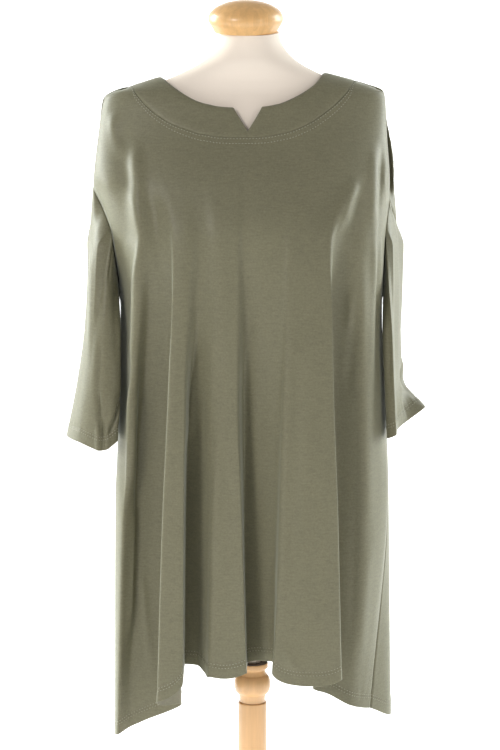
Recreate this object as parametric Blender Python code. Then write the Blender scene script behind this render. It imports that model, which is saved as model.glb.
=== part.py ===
"""Trapeze tunic with elbow sleeves, hung on a limbless dress form with a turned wooden stand.

Left and right are the wearer's: the right sleeve is at -X, the left one at +X. The front faces -Y.
The origin is the centre of the base's underside. Tables are in millimetres, everything else in metres.
"""

import math
from collections import namedtuple

import bmesh
import bpy
import numpy as np
from mathutils import Matrix

MM = 0.001

# Cloth
BODY_CLOTH = 0.0014
BAND_CLOTH = 0.0020
BAND_PROUD = 0.0005
SEAM_GAP = 0.0003
ARMHOLE_GAP = 0.0004
BAND_GAP = 0.0008

# Neckline
NOTCH_CENTRE = -0.007
NOTCH_WIDTH = 0.041
NOTCH_DEPTH = 0.034

# Mesh steps
ARMHOLE_ROWS = 8
SKIRT_ROWS = 9
SLEEVE_ROWS = 9
BAND_ROWS = 3
SHOULDER_STEPS = 2
FOLD_STEPS = 3

# Heights at which the fold tables give a line's place
YOKE_Z = 1.285
CHEST_Z = 1.180
BUST_Z = 1.080
WAIST_Z = 0.950
HIP_Z = 0.800
LEVEL_CLEARANCE = 0.025
CREST_DROP = 0.016

# Heights for the sleeve tables
CAP_Z = 1.170
UPPER_Z = 1.045
ELBOW_Z = 0.970

# Dress form and stand
NECK_TOP_Z = 1.485
NECK_CENTRE_X = -0.004
HUB_Z = 0.533
COLLAR_TOP_Z = 0.5325
COLLAR_RADIUS = 0.024
COLLAR_NECK_RADIUS = 0.0195
COLLAR_EDGE = 0.002
BALL_RADIUS = 0.0278
BALL_ROUNDING = 0.008
BALL_HALF_HEIGHT = 0.0155
BALL_Z = 0.4985
POST_TOP_Z = 0.4680
POST_RADIUS = 0.0220
POST_SPIGOT = 0.003
BASE_RADIUS = 0.170
BASE_HEIGHT = 0.030
CAP_RADIUS = 0.0555
CAP_HEIGHT = 0.046
CAP_BROW = 0.019
CAP_CENTRE_X = -0.010
PLATE_TILT = math.radians(12)
TILT_START_Z = 1.430
STAND_SIDES = 40
FORM_SIDES = 40

# The yoke's smooth surface over the shoulders: its half widths and its depths at each height
Section = namedtuple("Section", "z right left back_right back_left front back")
YOKE = (
    Section(1431, 97, 97, 97, 97, 16, 20),
    Section(1421, 133, 130, 133, 130, 36, 38),
    Section(1414, 156, 152, 156, 152, 44, 48),
    Section(1406, 179, 175, 179, 175, 51, 56),
    Section(1394, 217, 197, 217, 197, 58, 67),
    Section(1382, 221, 199, 221, 200, 64, 76),
    Section(1358, 226, 200, 228, 203, 73, 88),
    Section(1327, 231, 201, 234, 209, 86, 99),
    Section(1285, 236, 205, 240, 219, 107, 110),
    Section(1238, 239, 207, 251, 228, 127, 116),
    Section(1181, 239, 207, 255, 231, 141, 118),
)
YOKE_ROUNDNESS = 2.5

# One row for each line that the cloth hangs along: a ridge, a hollow or a seam, from wearer's right to left
Fold = namedtuple("Fold", "name top_x top_z x_yoke x_chest x_bust x_waist x_hip x_hem "
                          "y_chest y_bust y_waist y_hip y_hem hem_z")
FRONT = (
    Fold("side_right", -238, 1259, -237, -206, -199, -203, -206, -202, -42, 0, 0, 0, 0, 433),
    Fold("turn_right", -229, 1334, -212, -180, -182, -190, -205, -208, -80, -56, -44, -42, -54, 438),
    Fold("ridge_a", -220, 1390, -184, -160, -164, -175, -188, -200, -113, -100, -90, -86, -80, 444),
    Fold("foot_a", -181, 1406, -165, -146, -150, -160, -174, -182, -114, -92, -76, -68, -66, 452),
    Fold("recess_a", -171, 1392, -152, -135, -136, -142, -153, -160, -116, -96, -77, -66, -70, 463),
    Fold("foot_b", -160, 1379, -137, -118, -115, -117, -119, -106, -127, -108, -90, -84, -88, 492),
    Fold("ridge_b", -150, 1369, -129, -112, -115, -121, -129, -139, -133, -138, -143, -149, -154, 510),
    Fold("edge_b", -121, 1349, -106, -90, -95, -98, -99, -101, -136, -142, -149, -156, -160, 535),
    Fold("hollow_b", -87, 1336, -84, -75, -78, -91, -97, -100, -134, -129, -111, -101, -98, 556),
    Fold("floor_b", -76, 1333, -74, -65, -66, -75, -78, -82, -135, -133, -122, -116, -106, 557),
    Fold("foot_c", -63, 1331, -60, -53, -54, -58, -64, -70, -138, -139, -137, -134, -126, 551),
    Fold("ridge_c", -52, 1329, -50, -44, -45, -47, -54, -62, -139, -141, -142, -143, -145, 546),
    Fold("edge_c", -27, 1328, -26, -24, -23, -23, -17, -9, -140, -143, -147, -149, -150, 547),
    Fold("hollow_c", -7, 1328, -8, -11, -7, -12, -12, -8, -137, -130, -114, -106, -101, 559),
    Fold("hollow_d", 18, 1329, 22, 16, 18, 14, 10, 10, -138, -136, -126, -119, -108, 564),
    Fold("foot_d", 35, 1332, 44, 44, 43, 39, 35, 31, -139, -142, -142, -138, -120, 565),
    Fold("ridge_d", 50, 1335, 60, 53, 51, 47, 43, 28, -140, -145, -150, -155, -158, 551),
    Fold("middle_d", 83, 1349, 97, 82, 82, 80, 78, 74, -138, -146, -154, -161, -168, 543),
    Fold("ridge_e", 124, 1379, 139, 109, 113, 116, 122, 129, -137, -145, -151, -156, -158, 541),
    Fold("foot_e", 138, 1394, 148, 118, 111, 112, 112, 90, -124, -110, -97, -92, -97, 519),
    Fold("hollow_e", 153, 1414, 157, 133, 128, 126, 128, 112, -109, -99, -89, -85, -91, 509),
    Fold("panel_e", 170, 1409, 165, 153, 156, 158, 158, 142, -102, -97, -91, -87, -88, 492),
    Fold("ridge_f", 195, 1397, 176, 173, 181, 191, 194, 162, -86, -62, -44, -48, -74, 483),
    Fold("turn_left", 199, 1339, 193, 191, 191, 196, 203, 170, -58, -32, -22, -28, -66, 480),
    Fold("side_left", 205, 1238, 205, 197, 195, 200, 205, 177, -28, 0, 0, -12, -59, 478),
)
BACK = (
    Fold("side_right", -238, 1259, -237, -234, -199, -203, -206, -202, 35, 0, 0, 0, 0, 433),
    Fold("turn_right", -229, 1334, -232, -221, -196, -201, -206, -204, 68, 40, 32, 32, 34, 441),
    Fold("ridge_g", -220, 1390, -207, -183, -174, -181, -192, -189, 92, 78, 74, 80, 92, 456),
    Fold("hollow_g", -181, 1406, -167, -146, -146, -150, -155, -154, 104, 92, 78, 72, 76, 477),
    Fold("ridge_h", -148, 1387, -135, -120, -121, -128, -134, -137, 112, 114, 121, 134, 150, 501),
    Fold("hollow_h", -107, 1369, -99, -91, -90, -89, -86, -84, 114, 108, 101, 99, 106, 521),
    Fold("ridge_i", -65, 1359, -63, -61, -60, -60, -59, -56, 118, 119, 121, 131, 142, 534),
    Fold("hollow_i", -34, 1355, -32, -30, -28, -25, -22, -19, 118, 112, 106, 107, 114, 544),
    Fold("ridge_j", -3, 1354, 0, 4, 6, 11, 15, 19, 119, 120, 124, 141, 160, 541),
    Fold("hollow_j", 34, 1357, 35, 38, 40, 46, 51, 55, 117, 110, 99, 95, 99, 538),
    Fold("ridge_k", 71, 1367, 72, 76, 78, 85, 91, 99, 116, 117, 118, 128, 143, 522),
    Fold("hollow_k", 112, 1385, 107, 111, 113, 120, 127, 135, 108, 100, 91, 90, 98, 502),
    Fold("ridge_l", 153, 1414, 145, 146, 147, 153, 162, 174, 99, 97, 98, 112, 130, 484),
    Fold("hollow_l", 170, 1409, 167, 166, 165, 169, 178, 193, 88, 77, 68, 68, 76, 469),
    Fold("ridge_m", 195, 1397, 195, 189, 180, 186, 201, 216, 72, 52, 48, 54, 50, 458),
    Fold("turn_back_left", 199, 1339, 213, 211, 195, 201, 208, 212, 54, 36, 20, 18, -14, 455),
    Fold("side_left", 205, 1238, 205, 221, 195, 200, 205, 177, 36, 0, 0, -12, -59, 478),
)
RIGHT_CORNER = 3
FRONT_LEFT_CORNER = 20
BACK_LEFT_CORNER = 12

# The neck edge, from wearer's right to left, across the front without its notch and across the back
EdgePoint = namedtuple("EdgePoint", "along x z")
NECK_FRONT = (
    EdgePoint(0.0, -136, 1420),
    EdgePoint(3.0, -109, 1398),
    EdgePoint(4.0, -82, 1382),
    EdgePoint(5.0, -66, 1377),
    EdgePoint(8.0, -45, 1373),
    EdgePoint(9.0, -27, 1372),
    EdgePoint(10.0, -7, 1372),
    EdgePoint(11.0, 13, 1373),
    EdgePoint(13.0, 37, 1377),
    EdgePoint(14.0, 65, 1389),
    EdgePoint(15.0, 91, 1407),
    EdgePoint(17.0, 106, 1426),
)
NECK_BACK = (
    EdgePoint(0.0, -136, 1420),
    EdgePoint(1.5, -105, 1408),
    EdgePoint(3.0, -65, 1401),
    EdgePoint(4.5, -20, 1399),
    EdgePoint(6.0, 26, 1401),
    EdgePoint(7.5, 71, 1409),
    EdgePoint(9.0, 106, 1426),
)

# One row for each line down a sleeve
# around is 0 at the shoulder, 1 at the underarm and 2 back at the shoulder
SleeveLine = namedtuple(
    "SleeveLine", "around x_cap y_cap x_upper y_upper x_elbow y_elbow x_cuff y_cuff cuff_z")
SLEEVE_RIGHT = (
    SleeveLine(0.00, -245, 6, -253, 4, -264, 4, -281, 0, 885),
    SleeveLine(0.25, -235, -38, -242, -46, -249, -50, -258, -52, 881),
    SleeveLine(0.50, -214, -60, -217, -68, -221, -72, -222, -74, 871),
    SleeveLine(0.75, -204, -52, -194, -56, -194, -61, -199, -66, 885),
    SleeveLine(1.00, -206, 0, -207, 0, -210, -4, -213, -8, 884),
    SleeveLine(1.25, -215, 46, -213, 44, -217, 46, -221, 48, 887),
    SleeveLine(1.50, -242, 52, -236, 60, -240, 66, -248, 68, 891),
    SleeveLine(1.75, -251, 38, -248, 46, -258, 50, -273, 48, 889),
)
SLEEVE_LEFT = (
    SleeveLine(0.00, 219, 10, 222, 12, 222, 10, 234, 8, 904),
    SleeveLine(0.25, 208, -26, 209, -29, 213, -29, 217, -27, 896),
    SleeveLine(0.50, 203, -48, 205, -58, 208, -60, 212, -60, 892),
    SleeveLine(0.75, 196, -40, 192, -43, 195, -46, 200, -48, 886),
    SleeveLine(1.00, 199, 0, 206, 0, 208, -4, 210, -4, 892),
    SleeveLine(1.25, 206, 40, 206, 40, 209, 42, 216, 46, 904),
    SleeveLine(1.50, 221, 56, 215, 64, 218, 68, 248, 64, 919),
    SleeveLine(1.75, 230, 40, 228, 44, 229, 44, 265, 34, 923),
)

# The torso's sections, each an oval with its own half width, front depth and back depth
TorsoSection = namedtuple("TorsoSection", "z half_width front back")
TORSO = (
    TorsoSection(1485, 43, 44, 44),
    TorsoSection(1471, 46, 45, 46),
    TorsoSection(1454, 57, 47, 49),
    TorsoSection(1440, 73, 49, 50),
    TorsoSection(1426, 99, 48, 49),
    TorsoSection(1412, 131, 46, 47),
    TorsoSection(1398, 162, 47, 51),
    TorsoSection(1382, 180, 53, 60),
    TorsoSection(1353, 188, 65, 73),
    TorsoSection(1314, 190, 80, 87),
    TorsoSection(1260, 185, 101, 95),
    TorsoSection(1201, 176, 121, 96),
    TorsoSection(1151, 168, 129, 93),
    TorsoSection(1081, 154, 118, 84),
    TorsoSection(1010, 142, 100, 76),
    TorsoSection(950, 138, 92, 74),
    TorsoSection(879, 150, 94, 82),
    TorsoSection(797, 166, 96, 86),
    TorsoSection(714, 168, 90, 86),
    TorsoSection(652, 156, 84, 80),
    TorsoSection(619, 134, 72, 78),
    TorsoSection(596, 98, 54, 58),
    TorsoSection(577, 50, 34, 36),
    TorsoSection(554, 20, 19, 19),
    TorsoSection(533, 12, 12, 12),
)
SHOULDER_ROUNDNESS = 2.2


def smooth(at, places, values):
    """Value at a place on a smooth curve through the given values, which never swings past them."""
    places = np.asarray(places, float)
    values = np.asarray(values, float)
    if places[0] > places[-1]:
        places, values = places[::-1], values[::-1]
    gaps = np.diff(places)
    rises = np.diff(values) / gaps
    slopes = np.empty(len(values))
    slopes[0], slopes[-1] = rises[0], rises[-1]
    before, after = rises[:-1], rises[1:]
    agree = before * after > 0
    total = np.where(agree, before + after, 1.0)
    slopes[1:-1] = np.where(agree, 2 * before * after / total, 0.0)
    at = np.clip(at, places[0], places[-1])
    i = np.clip(np.searchsorted(places, at) - 1, 0, len(gaps) - 1)
    t = (at - places[i]) / gaps[i]
    start = (1 + 2 * t) * (1 - t) ** 2 * values[i] + t * (1 - t) ** 2 * gaps[i] * slopes[i]
    end = t * t * (3 - 2 * t) * values[i + 1] + t * t * (t - 1) * gaps[i] * slopes[i + 1]
    return start + end


def yoke_y(x, z, back):
    """Depth of the yoke's surface at a place; 0 along the shoulder line."""
    heights = [row.z * MM for row in YOKE]
    side = ("back_" if back else "") + ("right" if x < 0 else "left")
    half = smooth(z, heights, [getattr(row, side) * MM for row in YOKE])
    depth = smooth(z, heights, [(row.back if back else row.front) * MM for row in YOKE])
    share = min(abs(x) / half, 1.0)
    y = depth * (1 - share ** YOKE_ROUNDNESS) ** (1 / YOKE_ROUNDNESS)
    return y if back else -y


def fold_column(fold, on_shoulder, back):
    """Points down one line, from the yoke's top edge to the hem; a shoulder seam lies at y 0."""
    top_x, top_z, hem_z = fold.top_x * MM, fold.top_z * MM, fold.hem_z * MM
    levels = ((YOKE_Z, fold.x_yoke), (CHEST_Z, fold.x_chest), (BUST_Z, fold.x_bust),
              (WAIST_Z, fold.x_waist), (HIP_Z, fold.x_hip), (hem_z, fold.x_hem))
    heights = [top_z] + [z for z, _ in levels if z < top_z - LEVEL_CLEARANCE]
    across = [top_x] + [x * MM for z, x in levels if z < top_z - LEVEL_CLEARANCE]
    depths = ((CHEST_Z, fold.y_chest), (BUST_Z, fold.y_bust), (WAIST_Z, fold.y_waist),
              (HIP_Z, fold.y_hip), (hem_z, fold.y_hem))
    deep_heights = [top_z]
    deep = [0.0 if on_shoulder else yoke_y(top_x, top_z, back)]
    for z in (top_z - CREST_DROP, 0.5 * (top_z - CREST_DROP + YOKE_Z), YOKE_Z):
        if YOKE_Z - MM < z and top_z > YOKE_Z + 2 * CREST_DROP:
            deep_heights.append(z)
            deep.append(yoke_y(smooth(z, heights, across), z, back))
    deep_heights += [z for z, _ in depths]
    deep += [y * MM for _, y in depths]
    upper = np.linspace(top_z, BUST_Z, ARMHOLE_ROWS + 1)
    if top_z > YOKE_Z + 2 * CREST_DROP:
        upper[1] = top_z - CREST_DROP
    lower = np.linspace(BUST_Z, hem_z, SKIRT_ROWS + 1)[1:]
    column = np.concatenate([upper, lower])
    return [(smooth(z, heights, across), smooth(z, deep_heights, deep), z) for z in column]


def panel_points(folds, corners, back):
    """Grid of points over a body panel, its columns smoothed across from fold line to fold line."""
    lines = np.array([fold_column(fold, not corners[0] < i < corners[1], back)
                      for i, fold in enumerate(folds)])
    places = np.arange(len(folds))
    across = []
    for i in range(len(folds) - 1):
        steps = FOLD_STEPS if corners[0] <= i < corners[1] else SHOULDER_STEPS
        across += [i + k / steps for k in range(steps)]
    across.append(len(folds) - 1.0)
    across = np.array(across)
    grid = np.empty((lines.shape[1], len(across), 3))
    for row in range(lines.shape[1]):
        for axis in range(3):
            grid[row, :, axis] = smooth(across, places, lines[:, row, axis])
    for start, end in ((0, corners[0]), corners, (corners[1], len(folds) - 1)):
        part = (across >= start) & (across <= end)
        for axis in range(3):
            grid[0, part, axis] = smooth(across[part], places[start:end + 1], lines[start:end + 1, 0, axis])
    return grid


def corner_columns(corners):
    """Columns at which the neckband starts and ends."""
    first = corners[0] * SHOULDER_STEPS
    return first, first + (corners[1] - corners[0]) * FOLD_STEPS


def band_points(panel, corners, edge, back):
    """Grid over a neckband, from the neck edge to the panel's top edge."""
    first, last = corner_columns(corners)
    seam = panel[0, first:last + 1]
    along = np.linspace(0, edge[-1].along, len(seam))
    places = [row.along for row in edge]
    neck_x = smooth(along, places, [row.x * MM for row in edge])
    neck_z = smooth(along, places, [row.z * MM for row in edge])
    if not back:
        away = np.abs(neck_x - NOTCH_CENTRE) / (NOTCH_WIDTH / 2)
        neck_z -= NOTCH_DEPTH * np.clip(1 - away, 0, 1)
    grid = np.empty((BAND_ROWS + 1, len(seam), 3))
    for column in range(len(seam)):
        for row in range(BAND_ROWS + 1):
            share = row / BAND_ROWS
            x = (1 - share) * neck_x[column] + share * seam[column, 0]
            z = (1 - share) * neck_z[column] + share * seam[column, 2]
            grid[row, column] = (x, yoke_y(x, z, back), z)
    grid[-1] = seam
    grid[:, (0, -1), 1] = 0
    return grid


def sleeve_points(front_armhole, back_armhole, lines):
    """Rings of points down a sleeve, the first one round the armhole."""
    armhole = np.concatenate([front_armhole, back_armhole[-2:0:-1]])
    count = len(armhole)
    around = 2 * np.arange(count) / count
    places = np.array([line.around for line in lines])
    wrapped = np.concatenate([places[-2:] - 2, places, places[:2] + 2])

    def ring_values(name):
        values = np.array([getattr(line, name) for line in lines]) * MM
        return smooth(around, wrapped, np.concatenate([values[-2:], values, values[:2]]))

    cap_x, cap_y = ring_values("x_cap"), ring_values("y_cap")
    upper_x, upper_y = ring_values("x_upper"), ring_values("y_upper")
    elbow_x, elbow_y = ring_values("x_elbow"), ring_values("y_elbow")
    cuff_x, cuff_y, cuff_z = ring_values("x_cuff"), ring_values("y_cuff"), ring_values("cuff_z")
    grid = np.empty((SLEEVE_ROWS + 1, count, 3))
    for c in range(count):
        top = armhole[c]
        stops = [(CAP_Z, cap_x[c], cap_y[c]), (UPPER_Z, upper_x[c], upper_y[c]),
                 (ELBOW_Z, elbow_x[c], elbow_y[c]), (cuff_z[c], cuff_x[c], cuff_y[c])]
        stops = [stop for stop in stops if stop[0] < top[2] - LEVEL_CLEARANCE]
        heights = [top[2]] + [stop[0] for stop in stops]
        x_stops = [top[0]] + [stop[1] for stop in stops]
        y_stops = [top[1]] + [stop[2] for stop in stops]
        for row, z in enumerate(np.linspace(top[2], cuff_z[c], SLEEVE_ROWS + 1)):
            grid[row, c] = (smooth(z, heights, x_stops), smooth(z, heights, y_stops), z)
    return grid


def unit(vectors):
    """The same vectors at length 1."""
    length = np.linalg.norm(vectors, axis=-1, keepdims=True)
    return vectors / np.maximum(length, 1e-9)


def outward_normals(grid, closed, turn):
    """Normals of a grid of points; turn is 1 or -1, for which way the outside lies."""
    down = np.gradient(grid, axis=0)
    if closed:
        across = np.roll(grid, -1, axis=1) - np.roll(grid, 1, axis=1)
        normals = unit(np.cross(down, across)) * turn
        return unit(np.roll(normals, 1, axis=1) + 2 * normals + np.roll(normals, -1, axis=1))
    across = np.gradient(grid, axis=1)
    return unit(np.cross(down, across)) * turn


def share_normals(one, other):
    """Gives two panels the same normals along the edge that they share, except where they face each other."""
    together = np.sum(one * other, axis=-1, keepdims=True) > 0
    mean = unit(one + other)
    one[...] = np.where(together, mean, one)
    other[...] = np.where(together, mean, other)


def square_to(edge, inside, closed):
    """Directions that lead from an edge into its cloth, square to the edge."""
    if closed:
        along = unit(np.roll(edge, -1, axis=0) - np.roll(edge, 1, axis=0))
    else:
        along = unit(np.gradient(edge, axis=0))
    inward = inside - edge
    return unit(inward - along * np.sum(inward * along, axis=1, keepdims=True))


def part_seam(edge, inside, other_edge, other_inside, gap=SEAM_GAP, closed=False):
    """Parts two edges that share a seam by the seam gap."""
    inward = square_to(edge, inside, closed)
    other_inward = square_to(other_edge, other_inside, closed)
    apart = unit(inward - other_inward) * gap / 2
    edge += apart
    other_edge -= apart


def material(name, colour, roughness):
    """A Principled material of one colour."""
    made = bpy.data.materials.new(name)
    made.use_nodes = True
    shader = made.node_tree.nodes["Principled BSDF"]
    shader.inputs["Base Color"].default_value = (*colour, 1.0)
    shader.inputs["Roughness"].default_value = roughness
    return made


def finish_object(name, bm, finish):
    """Makes an object of a bmesh, shaded smooth."""
    bmesh.ops.recalc_face_normals(bm, faces=bm.faces)
    mesh = bpy.data.meshes.new(name)
    bm.to_mesh(mesh)
    bm.free()
    mesh.shade_smooth()
    mesh.materials.append(finish)
    made = bpy.data.objects.new(name, mesh)
    bpy.context.scene.collection.objects.link(made)
    return made


def cloth_wall(name, grid, normals, thickness, closed, finish):
    """A wall of cloth whose outer face runs through a grid of points."""
    rows, columns = grid.shape[:2]
    bm = bmesh.new()
    outer = [[bm.verts.new(point) for point in row] for row in grid]
    inner = [[bm.verts.new(point) for point in row] for row in grid - normals * thickness]
    spans = columns if closed else columns - 1
    for r in range(rows - 1):
        for c in range(spans):
            d = (c + 1) % columns
            bm.faces.new((outer[r][c], outer[r][d], outer[r + 1][d], outer[r + 1][c]))
            bm.faces.new((inner[r][c], inner[r + 1][c], inner[r + 1][d], inner[r][d]))
    for c in range(spans):
        d = (c + 1) % columns
        bm.faces.new((outer[0][d], outer[0][c], inner[0][c], inner[0][d]))
        bm.faces.new((outer[-1][c], outer[-1][d], inner[-1][d], inner[-1][c]))
    if not closed:
        for r in range(rows - 1):
            bm.faces.new((outer[r][0], outer[r + 1][0], inner[r + 1][0], inner[r][0]))
            bm.faces.new((outer[r + 1][-1], outer[r][-1], inner[r][-1], inner[r + 1][-1]))
    return finish_object(name, bm, finish)


def make_tunic(cloth):
    """The six pieces of the tunic."""
    front_corners = (RIGHT_CORNER, FRONT_LEFT_CORNER)
    back_corners = (RIGHT_CORNER, BACK_LEFT_CORNER)
    front = panel_points(FRONT, front_corners, False)
    back = panel_points(BACK, back_corners, True)
    front_band = band_points(front, front_corners, NECK_FRONT, False)
    back_band = band_points(back, back_corners, NECK_BACK, True)
    front_normals = outward_normals(front, False, 1)
    back_normals = outward_normals(back, False, -1)
    band_normals = outward_normals(front_band, False, 1)
    back_band_normals = outward_normals(back_band, False, -1)

    first, last = corner_columns(front_corners)
    back_last = corner_columns(back_corners)[1]
    share_normals(front_normals[0, first + 1:last], band_normals[-1, 1:-1])
    share_normals(back_normals[0, first + 1:back_last], back_band_normals[-1, 1:-1])
    share_normals(front_normals[0, :first + 1], back_normals[0, :first + 1])
    share_normals(front_normals[0, last:], back_normals[0, back_last:])
    share_normals(front_normals[ARMHOLE_ROWS:, 0], back_normals[ARMHOLE_ROWS:, 0])
    share_normals(front_normals[ARMHOLE_ROWS:, -1], back_normals[ARMHOLE_ROWS:, -1])
    share_normals(band_normals[:, 0], back_band_normals[:, 0])
    share_normals(band_normals[:, -1], back_band_normals[:, -1])
    for panel_normals, normals, end in ((front_normals, band_normals, last),
                                        (back_normals, back_band_normals, back_last)):
        normals[-1, 0] = panel_normals[0, first]
        normals[-1, -1] = panel_normals[0, end]

    sleeves = []
    for name, lines, side, next_in, turn in (("sleeve_right", SLEEVE_RIGHT, 0, 1, 1),
                                             ("sleeve_left", SLEEVE_LEFT, -1, -2, -1)):
        grid = sleeve_points(front[:ARMHOLE_ROWS + 1, side], back[:ARMHOLE_ROWS + 1, side], lines)
        normals = outward_normals(grid, True, turn)
        front_inside = front[:ARMHOLE_ROWS + 1, next_in]
        inside = np.concatenate([front_inside, back[ARMHOLE_ROWS - 1:0:-1, next_in]])
        inside[ARMHOLE_ROWS] = front[ARMHOLE_ROWS + 1, side]
        part_seam(grid[0], grid[1], grid[0].copy(), inside, 2 * ARMHOLE_GAP, closed=True)
        share_normals(front_normals[:ARMHOLE_ROWS + 1, side], normals[0, :ARMHOLE_ROWS + 1])
        share_normals(back_normals[ARMHOLE_ROWS - 1:0:-1, side], normals[0, ARMHOLE_ROWS + 1:])
        sleeves.append((name, grid, normals))

    part_seam(front[0, :first + 1], front[1, :first + 1], back[0, :first + 1], back[1, :first + 1])
    part_seam(front[0, last:], front[1, last:], back[0, back_last:], back[1, back_last:])
    for side, next_in in ((0, 1), (-1, -2)):
        part_seam(front[ARMHOLE_ROWS:, side], front[ARMHOLE_ROWS:, next_in],
                  back[ARMHOLE_ROWS:, side], back[ARMHOLE_ROWS:, next_in])
        part_seam(front_band[:, side], front_band[:, next_in], back_band[:, side], back_band[:, next_in])
    part_seam(front[0, first:last + 1], front[1, first:last + 1],
              front_band[-1], front_band[-2], BAND_GAP)
    part_seam(back[0, first:back_last + 1], back[1, first:back_last + 1],
              back_band[-1], back_band[-2], BAND_GAP)

    cloth_wall("front", front, front_normals, BODY_CLOTH, False, cloth)
    cloth_wall("back", back, back_normals, BODY_CLOTH, False, cloth)
    cloth_wall("neckband_front", front_band + band_normals * BAND_PROUD, band_normals, BAND_CLOTH,
               False, cloth)
    cloth_wall("neckband_back", back_band + back_band_normals * BAND_PROUD, back_band_normals, BAND_CLOTH,
               False, cloth)
    for name, grid, normals in sleeves:
        cloth_wall(name, grid, normals, BODY_CLOTH, True, cloth)


def make_torso(finish):
    """The padded torso, one closed form from the neck to the gathers at the hub."""
    bm = bmesh.new()
    rings = []
    for row in TORSO:
        z = row.z * MM
        centre = NECK_CENTRE_X * (z - HUB_Z) / (NECK_TOP_Z - HUB_Z)
        slope = math.tan(PLATE_TILT) * max(0.0, (z - TILT_START_Z) / (NECK_TOP_Z - TILT_START_Z))
        ring = []
        for i in range(FORM_SIDES):
            angle = 2 * math.pi * i / FORM_SIDES
            side, depth = math.cos(angle), math.sin(angle)
            spread = abs(side) ** SHOULDER_ROUNDNESS + abs(depth) ** SHOULDER_ROUNDNESS
            reach = spread ** (-1 / SHOULDER_ROUNDNESS)
            y = (row.back if depth > 0 else row.front) * MM * depth * reach
            ring.append(bm.verts.new((centre + row.half_width * MM * side * reach, y, z + slope * y)))
        rings.append(ring)
    for above, below in zip(rings, rings[1:]):
        for i in range(FORM_SIDES):
            j = (i + 1) % FORM_SIDES
            bm.faces.new((above[i], below[i], below[j], above[j]))
    bm.faces.new(rings[0])
    bm.faces.new(rings[-1])
    return finish_object("form_torso", bm, finish)


def turned(name, profile, finish, smooth_angle=math.radians(40)):
    """A turned solid; the profile runs from the axis at the top to the axis at the bottom."""
    bm = bmesh.new()
    chain = [bm.verts.new((radius, 0, z)) for radius, z in profile]
    edges = [bm.edges.new(pair) for pair in zip(chain, chain[1:])]
    bmesh.ops.spin(bm, geom=chain + edges, axis=(0, 0, 1), cent=(0, 0, 0), angle=2 * math.pi,
                   steps=STAND_SIDES, use_merge=True)
    bmesh.ops.remove_doubles(bm, verts=bm.verts, dist=1e-6)
    made = finish_object(name, bm, finish)
    made.data.set_sharp_from_angle(angle=smooth_angle)
    return made


def arc(centre_radius, centre_z, radius, start, end, steps):
    """Profile points on an arc; angles in degrees from straight out, upwards."""
    angles = [math.radians(start + (end - start) * i / steps) for i in range(steps + 1)]
    return [(centre_radius + radius * math.cos(a), centre_z + radius * math.sin(a)) for a in angles]


def make_cap(wood):
    """The domed cap on the neck, tilted forward with the neck's top."""
    dome = [(CAP_RADIUS * math.cos(math.radians(a)),
             CAP_BROW + (CAP_HEIGHT - CAP_BROW) * math.sin(math.radians(a))) for a in range(80, -1, -10)]
    under = [(CAP_RADIUS - 0.002, 0.013), (CAP_RADIUS - 0.007, 0.005), (CAP_RADIUS - 0.0095, 0), (0, 0)]
    made = turned("neck_cap", [(0, CAP_HEIGHT)] + dome + under, wood)
    place = Matrix.Translation((CAP_CENTRE_X, 0, NECK_TOP_Z + SEAM_GAP))
    made.data.transform(place @ Matrix.Rotation(PLATE_TILT, 4, "X"))
    return made


def make_stand(wood):
    """The turned collar and ball, the post and the round base."""
    ring = [(0, COLLAR_TOP_Z), (COLLAR_RADIUS - COLLAR_EDGE, COLLAR_TOP_Z),
            (COLLAR_RADIUS, COLLAR_TOP_Z - COLLAR_EDGE), (COLLAR_RADIUS, COLLAR_TOP_Z - 0.007),
            (COLLAR_RADIUS - COLLAR_EDGE, COLLAR_TOP_Z - 0.009), (COLLAR_NECK_RADIUS, COLLAR_TOP_Z - 0.013)]
    ball = [(BALL_RADIUS - BALL_ROUNDING + BALL_ROUNDING * math.cos(math.radians(a)),
             BALL_Z + BALL_HALF_HEIGHT * math.sin(math.radians(a))) for a in range(75, -76, -15)]
    spigot_z = POST_TOP_Z + POST_SPIGOT
    foot = [(COLLAR_NECK_RADIUS, BALL_Z - 0.020), (COLLAR_NECK_RADIUS, spigot_z), (0, spigot_z)]
    turned("stand_collar", ring + ball + foot, wood)

    top = spigot_z - SEAM_GAP
    bottom = BASE_HEIGHT + SEAM_GAP
    post = [(0, top), (POST_RADIUS - COLLAR_EDGE, top), (POST_RADIUS, top - COLLAR_EDGE),
            (POST_RADIUS, bottom), (0, bottom)]
    turned("stand_post", post, wood)

    edge = arc(BASE_RADIUS - 0.008, BASE_HEIGHT - 0.016, 0.008, 75, 0, 5)
    foot = arc(BASE_RADIUS - 0.003, 0.003, 0.003, 0, -90, 3)
    crown = [(0, BASE_HEIGHT), (0.032, BASE_HEIGHT), (0.034, BASE_HEIGHT - 0.003),
             (0.110, BASE_HEIGHT - 0.006)]
    turned("stand_base", crown + edge + foot + [(0, 0)], wood)


def main():
    for old in list(bpy.data.objects):
        bpy.data.objects.remove(old)
    cloth = material("olive_jersey", (0.15, 0.14, 0.095), 0.9)
    cover = material("cream_cover", (0.86, 0.80, 0.70), 0.8)
    wood = material("pale_wood", (0.72, 0.50, 0.27), 0.5)
    make_tunic(cloth)
    make_torso(cover)
    make_cap(wood)
    make_stand(wood)


main()
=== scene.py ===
"""Trapeze tunic with elbow sleeves, hung on a limbless dress form with a turned wooden stand.

Laid out as an add-on and run as a script. Left and right are the wearer's: the right sleeve is at -X.
The front faces -Y, and the origin is the centre of the base's underside. Tables are in millimetres.
"""

import math
from collections import namedtuple

import bmesh
import bpy
import numpy as np
from bpy.props import FloatProperty, FloatVectorProperty, IntProperty, PointerProperty
from mathutils import Matrix, Vector


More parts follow.
